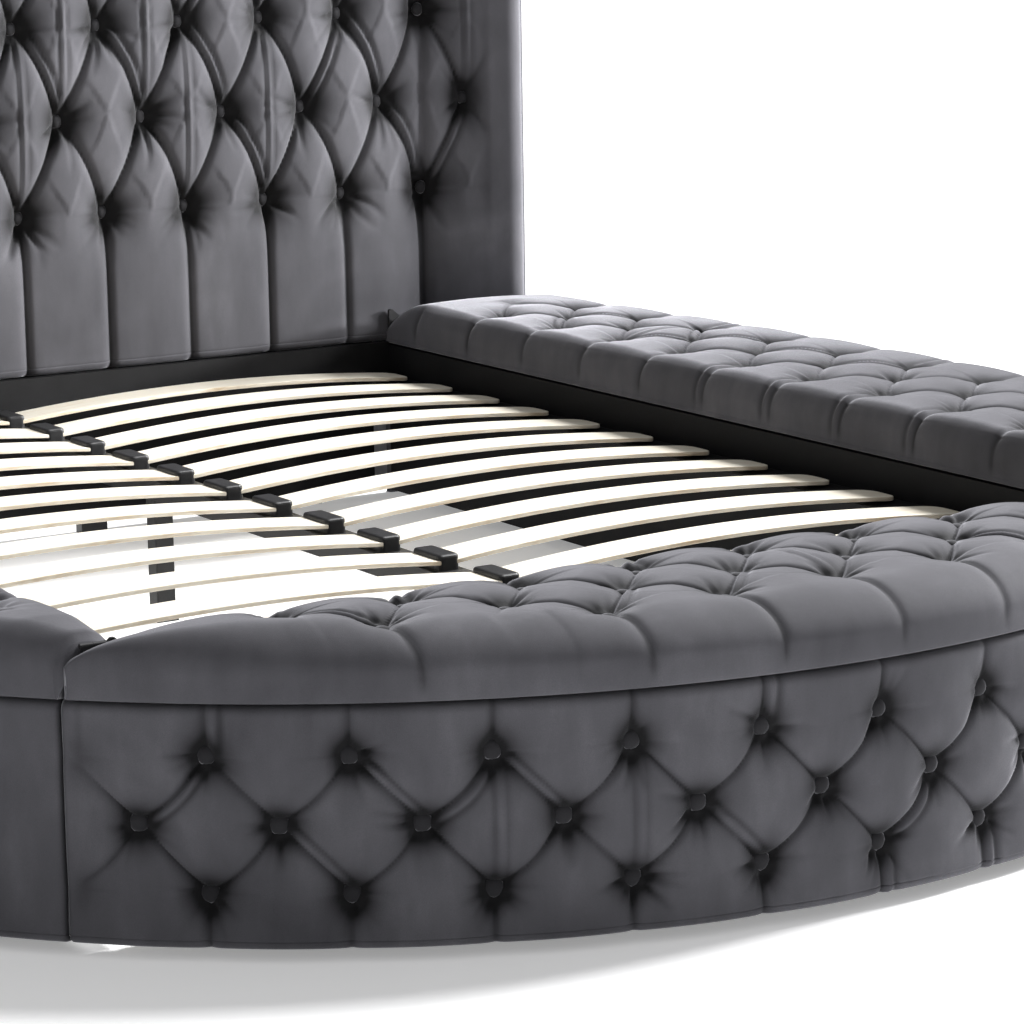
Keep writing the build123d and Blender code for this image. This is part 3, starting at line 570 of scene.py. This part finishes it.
def button_mesh(name, places, body):
    """Covered buttons. A place is a point and the way that it faces."""
    bm = bmesh.new()
    for point, facing in places:
        first = len(bm.verts)
        bm.from_mesh(STUD)
        bm.verts.ensure_lookup_table()
        turn = Vector(facing).to_track_quat("Z", "Y").to_matrix().to_4x4()
        bmesh.ops.transform(bm, matrix=Matrix.Translation(Vector(point)) @ turn, verts=bm.verts[first:])
    mesh = bpy.data.meshes.new(name)
    bm.to_mesh(mesh)
    bm.free()
    # Painted shade: the buttons are darkened as if in the shadow of their pits
    mesh.attributes.new("fold", "FLOAT", "POINT").data.foreach_set("value", [0.82] * len(mesh.vertices))
    return placed(name, mesh, body, "velvet")


# Tufted covers round the boxes


def cover(start, end, seed, plain=0.0):
    """Closed tufted cover between two runs, its painted fold shade, and its buttons' places. It stays plain
    near its start.
    """
    field = Field(COVER_COLUMN, COVER_ROW, 3, (0.01, 0.07), seed)
    step = 0.0032
    runs = np.linspace(start, end, int((end - start) / step))
    edge = 0.011
    face = np.linspace(SKIRT_BOTTOM + edge, BOX_TOP - edge, 78)
    low_z, low_in = low_round(SKIRT_BOTTOM, edge, 6)
    high_z, high_in = high_round(BOX_TOP, edge, 6)
    z = np.concatenate([[SKIRT_BOTTOM], low_z, face, high_z, [BOX_TOP]])
    base = np.concatenate([[COVER_DEPTH], low_in, 0 * face, high_in, [COVER_DEPTH]])
    u, v = np.meshgrid(runs, z, indexing="ij")
    c, r = u / COVER_COLUMN, (v - COVER_FIRST) / COVER_ROW
    share, fold = field.depth(c, r)
    buttons = field.buttons(start / COVER_COLUMN, end / COVER_COLUMN)
    places = [(column * COVER_COLUMN, COVER_FIRST + row * COVER_ROW) for column, row in buttons]
    first, last = start + plain + 2 * BUTTON_RADIUS, end - 2 * BUTTON_RADIUS
    places = [spot for spot in places if first < spot[0] < last]
    near_end = np.minimum(u - start, end - u)
    past_plain = np.clip((u - start - plain) / 0.03, 0, 1) if plain else 1
    calm = np.minimum(np.clip(near_end / 0.05, 0, 1), past_plain)
    rounded = round_off(near_end, 0.006)
    # Painted shade: a dark line at each end of the cover, for the shadowed crack at the seam
    fold = np.maximum(fold * calm, 0.8 * np.exp(-near_end / 0.0025))
    lines = field.wrinkles(u, v, places, deep=0.0042)
    depth = COVER_TUFT * share * (0.08 + 0.92 * calm) + lines
    # Painted shade along the wrinkles
    fold = np.clip(fold + 75 * lines, 0, 1)
    shown = base[None, :] < 0.02
    inset = base[None, :] + np.where(shown, depth + rounded, 0)
    x, y = outline(u, inset)
    return np.stack([x, y, v], axis=-1), fold * shown, places


def cover_buttons(name, places, body):
    spots = []
    for run, z in places:
        x, y = outline(run, COVER_TUFT * BUTTON_SEAT["cover"])
        far = outline(run, 0)
        spots.append(((float(x), float(y), z), (float(far[0] - x), float(far[1] - y), 0)))
    return button_mesh(name, spots, body)


foot_end = SEAM_RUN - HAIR
rings, fold, places = cover(-foot_end, foot_end, 3)
foot_cover = wrapped("foot_cover_velvet", rings, "frame", attributes={"fold": fold})
foot_cover_buttons = cover_buttons("foot_cover_studs", places, "frame")
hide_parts("foot_cover")
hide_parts("foot_cover_buttons")

rings, fold, places = cover(SEAM_RUN + HAIR, run_at_end() - 0.002, 5, plain=0.130)
right_cover = wrapped("right_cover_velvet", rings, "frame", attributes={"fold": fold})
right_cover_buttons = cover_buttons("right_cover_studs", places, "frame")
left_cover = mirrored(right_cover, "left_cover_velvet", "frame")
left_cover_buttons = mirrored(right_cover_buttons, "left_cover_studs", "frame")
sides = (("right", right_cover, right_cover_buttons), ("left", left_cover, left_cover_buttons))
for side, skin, studs in sides:
    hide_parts(f"{side}_cover")
    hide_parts(f"{side}_cover_buttons")


# Lid pads

PAD_SKIRT = PAD_BOTTOM - LID_BOTTOM - HAIR


def joined(group, count):
    """Parts of a section line side by side, the same for every section where they are given once."""
    return np.concatenate([np.broadcast_to(item, (count, item.shape[1])) for item in group], axis=1)


def pad_sections(width, height, crown, roll):
    """Outer line of a pad's sections from the inner skirt over the top to the outer skirt.

    The roll is the width of the rounded outer edge. Gives distances from the inner face, heights
    over the board, and the outward direction.
    """
    width, height, crown = width[:, None], height[:, None], crown[:, None]
    near = np.minimum(0.034, 0.45 * width)
    far = np.minimum(roll, 0.45 * width)
    fall = 0.74 * height
    rise = np.linspace(0, 1, 14)[None, :]
    cos, sin = (item[None, 1:-1] for item in arc(24, 0, 90))
    across = np.linspace(0, 1, 110)[None, :]
    side_h = -PAD_SKIRT + rise * (height - fall + PAD_SKIRT)
    belly = np.minimum(0.0020, 0.1 * width) * (1 - rise) ** 4
    cos_out, sin_out = cos[:, ::-1], sin[:, ::-1]
    top = near + across * (width - near - far)
    s = [belly, near * (1 - cos), top, width - far * (1 - cos_out), width - belly[:, ::-1]]
    h = [side_h, height - fall * (1 - sin), height + 0 * across,
         height - fall * (1 - sin_out), side_h[:, ::-1]]
    out_s = [-1 + 0 * side_h, -cos, 0 * across, cos_out, 1 + 0 * side_h]
    out_h = [0 * side_h, sin, 1 + 0 * across, sin_out, 0 * side_h]
    s, h, out_s, out_h = (joined(group, len(width)) for group in (s, h, out_s, out_h))
    share = np.clip(s / width, 0, 1)
    h = h + crown * (1 - (2 * share - 1) ** 2) * out_h
    return s, h, out_s, out_h


def pad_surface(width, height, roll, u, field, column, row_at, rows, strength, seats):
    """Tufted sections of a pad and their painted fold shade.

    row_at turns distances from the inner face into rows, and strength gives the tufting's share there.
    """
    crown = PAD_CROWN * np.minimum(width / (3 * PAD_HEIGHT), 1)
    s, h, out_s, out_h = pad_sections(width, height, crown, roll)
    inner = s < width[:, None] / 2
    below = 0.7 * np.maximum(height[:, None] - 0.010 - h, 0) * np.abs(out_s)
    v = np.where(inner, s - below, s + below)
    c = np.broadcast_to(column[:, None], s.shape)
    share, fold = field.changing(c, row_at(v, width[:, None]), rows[:, None])
    strength = strength(u[:, None], s, inner & (np.abs(out_s) > 0.6))
    lines = field.wrinkles(np.broadcast_to(u[:, None], v.shape), v, seats)
    depth = (PAD_TUFT * (0.42 + 0.58 * out_h**2) * share + lines) * strength
    climb = np.clip((h + 0.002) / 0.030, 0, 1)
    depth = depth * (0.22 + 0.78 * climb**2 * (3 - 2 * climb))
    bottom = np.clip((h + PAD_SKIRT) / 0.005, 0, 1)
    # The third value is painted shade in the folds, faded out low on the skirt
    return s - out_s * depth * bottom, h - out_h * depth, fold * strength * np.clip((h + 0.011) / 0.020, 0, 1)


def closed_under(s, h, width, ends=0):
    """Adds the fold under the skirts and the hidden face on the lid's board.

    With ends, the first and last sections reach down to close the pad there.
    """
    width = width[:, None]
    tuck = np.minimum(0.0030, 0.3 * width)
    near = np.minimum(0.0026, 0.3 * width)
    s = np.concatenate([s, width - tuck, width - tuck, near, near], axis=1)
    low = 0 * width - PAD_SKIRT
    high = 0 * width - HAIR
    if ends:
        high[[0, -1]] = low[[0, -1]]
    h = np.concatenate([h, low, high, high, low], axis=1)
    return s, h


# Foot pad: rows run straight, and end where the pad narrows
foot_face = FOOT_Y + PIVOT_PLATE / 2 - 2 * KNUCKLE_RADIUS - REST_GAP
NOSE_X = 0.8525
NOSE_REACH, NOSE_DROP = 0.190, 0.044
FOOT_COLUMN, FOOT_PHASE = 0.1605, 0.027
FOOT_FIRST, FOOT_ROW = 0.058, 0.090
FOOT_ROLL = 0.078
WIDTH_FOR_ROW = (0.170, 0.225, 0.300)


def foot_width(at):
    return foot_face - FRONT_CENTRE + np.sqrt(FRONT_RADIUS**2 - at**2)


def foot_strength(x, s, inner_side):
    """Both ends are smooth, and beyond the first row the tufting ends sooner."""
    ends = np.interp(x, (-0.70, -0.63, 0.54, 0.61), (0, 1, 1, 0))
    outer = np.interp(x, (-0.62, -0.55, 0.46, 0.52), (0, 1, 1, 0))
    return ends * (1 - (1 - outer) * np.clip((s - 0.075) / 0.045, 0, 1))


x = np.linspace(-NOSE_X, NOSE_X, 500)
width = foot_width(x)
tip = np.clip((np.abs(x) - (NOSE_X - NOSE_REACH)) / NOSE_REACH, 0, 1)
height = PAD_HEIGHT - NOSE_DROP * (1 - np.sqrt(1 - 0.98 * tip**2.3))
foot_field = Field(FOOT_COLUMN, FOOT_ROW, PAD_ROWS, (0.04, 0.04), 11, dimple=0.029)
foot_seats = []
for column, row in foot_field.buttons(-5, 5):
    at = column * FOOT_COLUMN + FOOT_PHASE
    if foot_width(at) > WIDTH_FOR_ROW[row]:
        foot_seats.append((at, FOOT_FIRST + row * FOOT_ROW))
rows = np.interp(x, (-0.61, -0.56, -0.44, -0.36, 0.40, 0.46, 0.50, 0.56), (1, 2, 2, 3, 3, 2, 2, 1))
s, h, fold = pad_surface(
    width, height, FOOT_ROLL, x, foot_field, (x - FOOT_PHASE) / FOOT_COLUMN,
    lambda v, w: (v - FOOT_FIRST) / FOOT_ROW, rows, foot_strength, foot_seats,
)
# The noses swell a little towards the seam, below the roll
swell = 0.0034 * np.clip((np.abs(x[:, None]) - 0.834) / 0.008, 0, 1) * np.clip((0.036 - h) / 0.008, 0, 1)
s = s - swell * (s < 0.5 * width[:, None])
s, h = closed_under(s, h, width)
fold = np.concatenate([fold, np.zeros((len(x), 4))], axis=1)
rings = np.stack([np.broadcast_to(x[:, None], s.shape), foot_face - s, PAD_BOTTOM + h], axis=-1)
foot_pad = wrapped("foot_pad_velvet", rings, "foot_lid", attributes={"fold": fold})


def seat_height(share):
    """Height of a button's seat at a share of a pad's width."""
    return PAD_BOTTOM + PAD_HEIGHT + PAD_CROWN * (1 - (2 * share - 1) ** 2) - PAD_TUFT * BUTTON_SEAT["pad"]


spots = [((at, foot_face - s0, seat_height(s0 / foot_width(at))), (0, 0, 1)) for at, s0 in foot_seats]
foot_studs = button_mesh("foot_pad_studs", spots, "foot_lid")
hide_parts("foot_lid_pad")
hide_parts("foot_lid_buttons")

# Side pads
SIDE_COLUMN = 0.180
SIDE_PHASE = 0.22
SIDE_ROLL = 0.050
pad_start = FOOT_Y + PIVOT_PLATE / 2 + PIVOT_GAP + HINGE_LEAF
pad_end = FACE_Y - 0.002


def side_width(y, slant):
    """Width of a side pad at stations whose sections slant by shares of the head end's slope."""
    x = HALF_WIDTH + 0 * y
    for _ in range(20):
        x = outline_x(y - slant * END_SLOPE * (x - RECESS_HALF))
    return x - RECESS_HALF


y = np.concatenate([[pad_start - 0.0006], np.linspace(pad_start, pad_end, 480), [pad_end + 0.0006]])
slant = np.maximum(0, 1 - (pad_end - y) / SIDE_COLUMN)
width = side_width(y, slant)
height = PAD_HEIGHT - 0.008 * np.maximum(0, 1 - (y - pad_start) / 0.060)
height = height - round_off(y - pad_start, 0.010) - round_off(pad_end - y, 0.110, 0.048)
side_field = Field(SIDE_COLUMN, 0.087, PAD_ROWS, (0.04, 0.04), 17, dimple=0.028)
side_seats = []
for column, row in side_field.buttons(0, (pad_end - pad_start) / SIDE_COLUMN - SIDE_PHASE):
    at = pad_start + (column + SIDE_PHASE) * SIDE_COLUMN
    lean = max(0, 1 - (pad_end - at) / SIDE_COLUMN)
    broad = float(side_width(np.array([at]), np.array([lean]))[0])
    if pad_start + 0.12 < at < pad_end - 0.18:
        side_seats.append((at, PAD_ROW_SHARE * (1 + row) * broad, PAD_ROW_SHARE * (1 + row), lean))


def side_strength(y, s, inner_side):
    """The foot end is smooth, and so is the top of the head end, where only the inner pleats stay."""
    foot = np.clip((y - pad_start - 0.10) / 0.07, 0, 1)
    head = np.clip((pad_end - y - 0.16) / 0.10, 0, 1)
    pleats = np.clip(1 - (s - 0.004) / 0.020, 0, 1) * np.clip((pad_end - y - 0.06) / 0.02, 0, 1)
    return foot * np.maximum(head, pleats) * np.where(inner_side, 1.25, 1)


s, h, fold = pad_surface(
    width, height, SIDE_ROLL, y, side_field, (y - pad_start) / SIDE_COLUMN - SIDE_PHASE,
    lambda v, w: v / (PAD_ROW_SHARE * w) - 1, 0 * y + PAD_ROWS, side_strength,
    [seat[:2] for seat in side_seats],
)
# A bead along the foot of the inner skirt
s = s - 0.0026 * np.exp(-(((h + 0.0118) / 0.0021) ** 2)) * (s < 0.05)
s, h = closed_under(s, h, width, ends=1)
fold = np.concatenate([fold, np.zeros((len(y), 4))], axis=1)
# The foot end bulges towards the foot pad, below the roll
bulge = 0 * s
bulge[0] = 0.0026 * np.clip((s[0] - 0.050) / 0.008, 0, 1) * np.clip((0.036 - h[0]) / 0.008, 0, 1)
ring_y = y[:, None] - slant[:, None] * END_SLOPE * s - bulge
rings = np.stack([RECESS_HALF + s, ring_y, PAD_BOTTOM + h], axis=-1)
right_pad = wrapped("right_pad_velvet", rings, "right_lid", attributes={"fold": fold})
spots = [
    ((RECESS_HALF + s0, at - lean * END_SLOPE * s0, seat_height(share)), (0, 0, 1))
    for at, s0, share, lean in side_seats
]
right_studs = button_mesh("right_pad_studs", spots, "right_lid")
left_pad = mirrored(right_pad, "left_pad_velvet", "left_lid")
left_studs = mirrored(right_studs, "left_pad_studs", "left_lid")
for side, pad, studs in (("right", right_pad, right_studs), ("left", left_pad, left_studs)):
    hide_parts(f"{side}_lid_pad")
    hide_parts(f"{side}_lid_buttons")


# Headboard
head_field = Field(HEAD_COLUMN, HEAD_ROW, 4, (0.07, 0.02), 23, dimple=0.036)
step = 0.0045
runs = np.linspace(-HEAD_END, HEAD_END, int(2 * HEAD_END / step))
top_edge, low_edge = 0.028, 0.014
face = np.linspace(HEAD_BOTTOM + low_edge, HEAD_TOP - top_edge, 190)
low_z, low_in = low_round(HEAD_BOTTOM, low_edge, 8)
high_z, high_in = high_round(HEAD_TOP, top_edge, 8)
z = np.concatenate([[HEAD_BOTTOM], low_z, face, high_z, [HEAD_TOP, HEAD_TOP - 0.004, HEAD_TOP - 0.0045]])
core_front, core_back = HEAD_PAD + HAIR, HEAD_PAD + HEAD_CORE - HAIR
base = np.concatenate([[core_front], low_in, 0 * face, high_in, [core_back, core_back, core_front]])
u, v = np.meshgrid(runs, z, indexing="ij")
share, fold = head_field.depth(u / HEAD_COLUMN - 0.5, (v - HEAD_FIRST) / HEAD_ROW)
wing_button = WING_COLUMN * HEAD_COLUMN
head_places = [
    ((column + 0.5) * HEAD_COLUMN, HEAD_FIRST + row * HEAD_ROW)
    for column, row in head_field.buttons(-WING_COLUMN - 0.5, WING_COLUMN - 0.5)
]
head_places = [spot for spot in head_places if abs(spot[0]) <= wing_button + 0.001]
near_end = HEAD_END - np.abs(u)
rounded = round_off(near_end, 0.030)
beyond = np.clip((np.abs(u) - wing_button - 0.006) / 0.040, 0, 1)
# Valleys where the wings meet the flat field
valley = 0.007 * np.exp(-((np.abs(np.abs(u) - FLAT_HALF) / 0.010) ** 1.3))
shown = base[None, :] < 0.03
lines = head_field.wrinkles(u, v, head_places, reach=0.105, deep=0.0044)
depth = HEAD_TUFT * share * (1 - beyond) + lines + valley
inset = base[None, :] + np.where(shown, np.minimum(depth + rounded, 0.052), 0)
hx, hy = head_line(u, inset)
rings = np.stack([hx, hy, v], axis=-1)
# Painted shade in the creases, pits and wrinkles, and none on the plain wing ends
fold = np.clip(fold + 70 * lines, 0, 1) * (1 - beyond)
# Two flat rings beyond each end close the cover on the core
close = []
for sign in (-1, 1):
    ends = []
    for extra in (0.0006, 0.0026):
        flat_inset = np.where(base < 0.03, 0.031 + base, np.maximum(base, core_back))
        ex, ey = head_line(np.full(len(z), sign * (HEAD_END + extra)), flat_inset + extra * 0.2)
        ends.append(np.stack([ex, ey, z], axis=-1))
    close.append(ends)
rings = np.concatenate([np.stack(close[0][::-1]), rings, np.stack(close[1])], axis=0)
fold = np.concatenate([np.zeros((2, len(z))), fold * shown, np.zeros((2, len(z)))], axis=0)
head_pad = wrapped("headboard_velvet", rings, "frame", attributes={"fold": fold})
spots = []
for run, height_z in head_places:
    px, py = head_line(np.array(run), np.array(HEAD_TUFT * BUTTON_SEAT["head"]))
    lean = math.copysign(WING_ANGLE, run) if abs(run) > FLAT_HALF + 0.001 else 0
    spots.append(((float(px), float(py), height_z), (-math.sin(lean), -math.cos(lean), 0)))
head_studs = button_mesh("headboard_studs", spots, "frame")
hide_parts("headboard_pad")
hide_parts("headboard_buttons")

# Upholstered bases under the wings
runs = np.linspace(RECESS_HALF + 0.004, HEAD_END, 70)
edge = 0.010
face = np.linspace(SKIRT_BOTTOM + edge, HEAD_BOTTOM - 0.001 - edge / 2, 40)
low_z, low_in = low_round(SKIRT_BOTTOM, edge, 5)
top_z = HEAD_BOTTOM - HAIR
z = np.concatenate([[SKIRT_BOTTOM], low_z, face, [top_z, top_z]])
base = np.concatenate([[HEAD_PAD], 0.002 + low_in, 0.002 + 0 * face, [0.004, HEAD_PAD]])
u, v = np.meshgrid(runs, z, indexing="ij")
near_end = np.minimum(HEAD_END - u, u - runs[0])
rounded = round_off(near_end, 0.012)
soft = 0.0018 * (1 + np.sin(u * 31 + 2 * np.sin(v * 17))) * np.clip(near_end / 0.03, 0, 1)
inset = base[None, :] + np.where(base[None, :] < 0.03, rounded + soft, 0)
bx, by = head_line(u, inset)
rings = np.stack([bx, by, v], axis=-1)
right_base = wrapped("right_wing_base_velvet", rings, "frame", attributes={"fold": 0 * u})
left_base = mirrored(right_base, "left_wing_base_velvet", "frame")
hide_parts("headboard_wing_bases")
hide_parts("headboard_wing_bases")


# Bowed slats

SLAT_FIRST, SLAT_PITCH, SLAT_COUNT = 0.066, 0.1575, 13
SLAT_ROOT, SLAT_TIP = 0.009, 0.773
SLAT_LENGTH = SLAT_TIP - SLAT_ROOT
SLAT_HALF = 0.036
SLAT_THICK = 0.0065
SLAT_MIDDLE = 0.242
SLAT_CROWN = 0.020
SLAT_CORNER = 0.022
slat_rows = [HEAD_Y - SLAT_FIRST - index * SLAT_PITCH for index in range(SLAT_COUNT)]


def slat_height(t):
    """Height of a bowed slat's middle layer at a share of its length."""
    return SLAT_MIDDLE + 4 * SLAT_CROWN * t * (1 - t)


def slats(name):
    """One row of bowed plywood slats with rounded outer ends and softened edges."""
    # Shares of the length, closer together at the rounded end
    stations = np.concatenate([np.linspace(0, 0.94, 44), 1 - 0.06 * (1 - np.linspace(0, 1, 13)[1:]) ** 2])
    bm = bmesh.new()
    for centre in slat_rows:
        form = Matrix.Translation((0.5, centre, 0)) @ Matrix.Diagonal((1, 2 * SLAT_HALF, SLAT_THICK, 1))
        made = bmesh.ops.create_cube(bm, size=1, matrix=form)["verts"]
        long_edges = [
            edge for edge in bm.edges
            if edge.verts[0] in made and abs(edge.verts[0].co.x - edge.verts[1].co.x) > 0.5
        ]
        bmesh.ops.subdivide_edges(bm, edges=long_edges, cuts=len(stations) - 2, use_grid_fill=True)
        for vert in bm.verts:
            if abs(vert.co.y - centre) < SLAT_HALF + 0.001 and vert.co.z < 0.1:
                t = stations[round(vert.co.x * (len(stations) - 1))]
                aside = vert.co.y - centre
                narrow = round_off((1 - t) * SLAT_LENGTH, SLAT_CORNER)
                aside = math.copysign(abs(aside) - narrow, aside)
                vert.co = (SLAT_ROOT + t * SLAT_LENGTH, centre + aside, slat_height(t) + vert.co.z)
    rims = [edge for edge in bm.edges if edge.calc_face_angle(0) > 0.9]
    bmesh.ops.bevel(bm, geom=rims, offset=0.0013, segments=2, profile=0.5, affect="EDGES", material=-1)
    layer = bm.verts.layers.float.new("layer")
    side = bm.faces.layers.float.new("side")
    for vert in bm.verts:
        t = (vert.co.x - SLAT_ROOT) / SLAT_LENGTH
        vert[layer] = (vert.co.z - slat_height(t)) / SLAT_THICK + 0.5
    bm.normal_update()
    for face in bm.faces:
        face[side] = 1.0 if abs(face.normal.z) < 0.5 else 0.0
    mesh = bpy.data.meshes.new(name)
    bm.to_mesh(mesh)
    bm.free()
    return placed(name, mesh, "frame", "slat_wood", smooth=False)


right_slats = slats("right_slats_bowed")
left_slats = mirrored(right_slats, "left_slats_bowed", "frame")
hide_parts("right_slats")
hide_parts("left_slats")


# Slat holders and legs


def block(bm, low, high, upright, rim):
    """Box between two corners with rounded upright edges and a softened top rim."""
    low, high = Vector(low), Vector(high)
    form = Matrix.Translation((low + high) / 2) @ Matrix.Diagonal((*(high - low), 1))
    made = bmesh.ops.create_cube(bm, size=1, matrix=form)["verts"]
    edges = [
        edge for edge in bm.edges
        if edge.verts[0] in made and abs(edge.verts[0].co.z - edge.verts[1].co.z) > 1e-5
    ]
    bmesh.ops.bevel(bm, geom=edges, offset=upright, segments=4, profile=0.5, affect="EDGES", material=-1)
    if not rim:
        return
    caps = [
        face for face in bm.faces
        if face.normal.z > 0.9 and abs(face.calc_center_median().z - high.z) < 1e-5
        and (face.calc_center_median() - (low + high) / 2).to_2d().length < 1e-4
    ]
    rims = [edge for face in caps for edge in face.edges]
    bmesh.ops.bevel(bm, geom=rims, offset=rim, segments=3, profile=0.5, affect="EDGES", material=-1)


def finished(bm, name, slot):
    bm.normal_update()
    mesh = bpy.data.meshes.new(name)
    bm.to_mesh(mesh)
    bm.free()
    return placed(name, mesh, "frame", slot, smooth=False)


HOLDER_HALF, HOLDER_REACH = 0.017, 0.0365
HOLDER_LOW, HOLDER_HIGH = 0.2312, 0.2535
bm = bmesh.new()
for centre in slat_rows:
    low = (-HOLDER_HALF, centre - HOLDER_REACH, HOLDER_LOW)
    block(bm, low, (HOLDER_HALF, centre + HOLDER_REACH, HOLDER_HIGH), 0.007, 0.0045)
holders = finished(bm, "slat_holders_moulded", "black_plastic")
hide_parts("centre_slat_holders")

TUBE_HALF, PLATE_HALF, PLATE_THICK = 0.016, 0.0225, 0.003
legs_low, legs_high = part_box("centre_legs")
under, top = legs_high[2] - PLATE_THICK, legs_high[2]
bm = bmesh.new()
for centre in (legs_low[1] + PLATE_HALF, legs_high[1] - PLATE_HALF):
    block(bm, (-TUBE_HALF, centre - TUBE_HALF, legs_low[2]), (TUBE_HALF, centre + TUBE_HALF, under), 0.003, 0)
    block(bm, (-PLATE_HALF, centre - PLATE_HALF, under), (PLATE_HALF, centre + PLATE_HALF, top), 0.004, 0)
legs = finished(bm, "centre_legs_tubes", "black_metal")
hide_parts("centre_legs")


# Floor, light and camera

floor_mesh = bpy.data.meshes.new("studio_floor")
bm = bmesh.new()
bmesh.ops.create_grid(bm, x_segments=8, y_segments=8, size=80)
bm.to_mesh(floor_mesh)
bm.free()
floor = bpy.data.objects.new("studio_floor", floor_mesh)
bpy.context.scene.collection.objects.link(floor)
pale = Finish("studio_floor", Roughness=0.9, Emission_Color=(1, 1, 1, 1), Emission_Strength=0.29)
pale.shader.inputs["Specular IOR Level"].default_value = 0.1
pale.wire(Base_Color=pale.ramp(pale.noise(0.6, 2.0), (0.3, (0.90, 0.90, 0.905)), (0.7, (0.92, 0.92, 0.925))))
floor_mesh.materials.append(pale.material)

scene = bpy.context.scene
world = bpy.data.worlds.new("studio")
world.use_nodes = True
world.node_tree.nodes["Background"].inputs["Color"].default_value = (1.0, 1.0, 1.0, 1)
world.node_tree.nodes["Background"].inputs["Strength"].default_value = 0.36
scene.world = world
scene.view_settings.view_transform = "Standard"


def lamp(name, kind, energy, come_from, place=(0, 0, 0), **settings):
    """Studio light that shines from a direction, and that the camera doesn't see if it is an area."""
    light = bpy.data.lights.new(name, kind)
    light.energy = energy
    for key, item in settings.items():
        setattr(light, key, item)
    holder = bpy.data.objects.new(name, light)
    holder.location = place
    holder.rotation_mode = "QUATERNION"
    holder.rotation_quaternion = Vector(come_from).to_track_quat("Z", "Y")
    holder.visible_camera = kind != "AREA"
    scene.collection.objects.link(holder)


lamp("key", "SUN", 5.0, (0.80, 0.15, 0.90), angle=math.radians(16))
# A narrow beam from the right rakes over the headboard and misses the wing and the pads
beam_place, beam_target = Vector((7.0, -1.1, 2.3)), Vector((0.05, FACE_Y, 0.86))
lamp("beam", "SPOT", 20000, beam_place - beam_target, beam_place,
     spot_size=math.radians(9.0), spot_blend=0.6, shadow_soft_size=0.8)
lamp("softbox", "AREA", 300, (4.3, 0.1, 2.2), (4.6, -0.9, 2.6), shape="DISK", size=1.0)

# Camera, solved from points of the photo
FOCAL_PIXELS, FRAME_PIXELS, SENSOR_WIDTH = 3646.0, 1024, 36
camera = bpy.data.objects.new("camera", bpy.data.cameras.new("camera"))
scene.collection.objects.link(camera)
scene.camera = camera
yaw, pitch, roll = (math.radians(angle) for angle in (-31.793, 11.035, -0.886))
right = Vector((math.cos(yaw), math.sin(yaw), 0))
forward = Vector((-math.sin(yaw) * math.cos(pitch), math.cos(yaw) * math.cos(pitch), -math.sin(pitch)))
upward = right.cross(forward)
turned_right = right * math.cos(roll) + upward * math.sin(roll)
turned_up = upward * math.cos(roll) - right * math.sin(roll)
pose = Matrix((turned_right, turned_up, -forward)).transposed().to_4x4()
pose.translation = (-2.4877, -4.5013, 1.2589)
camera.matrix_world = pose
camera.data.sensor_width = SENSOR_WIDTH
camera.data.lens = FOCAL_PIXELS * SENSOR_WIDTH / FRAME_PIXELS
camera.data.clip_end = 200
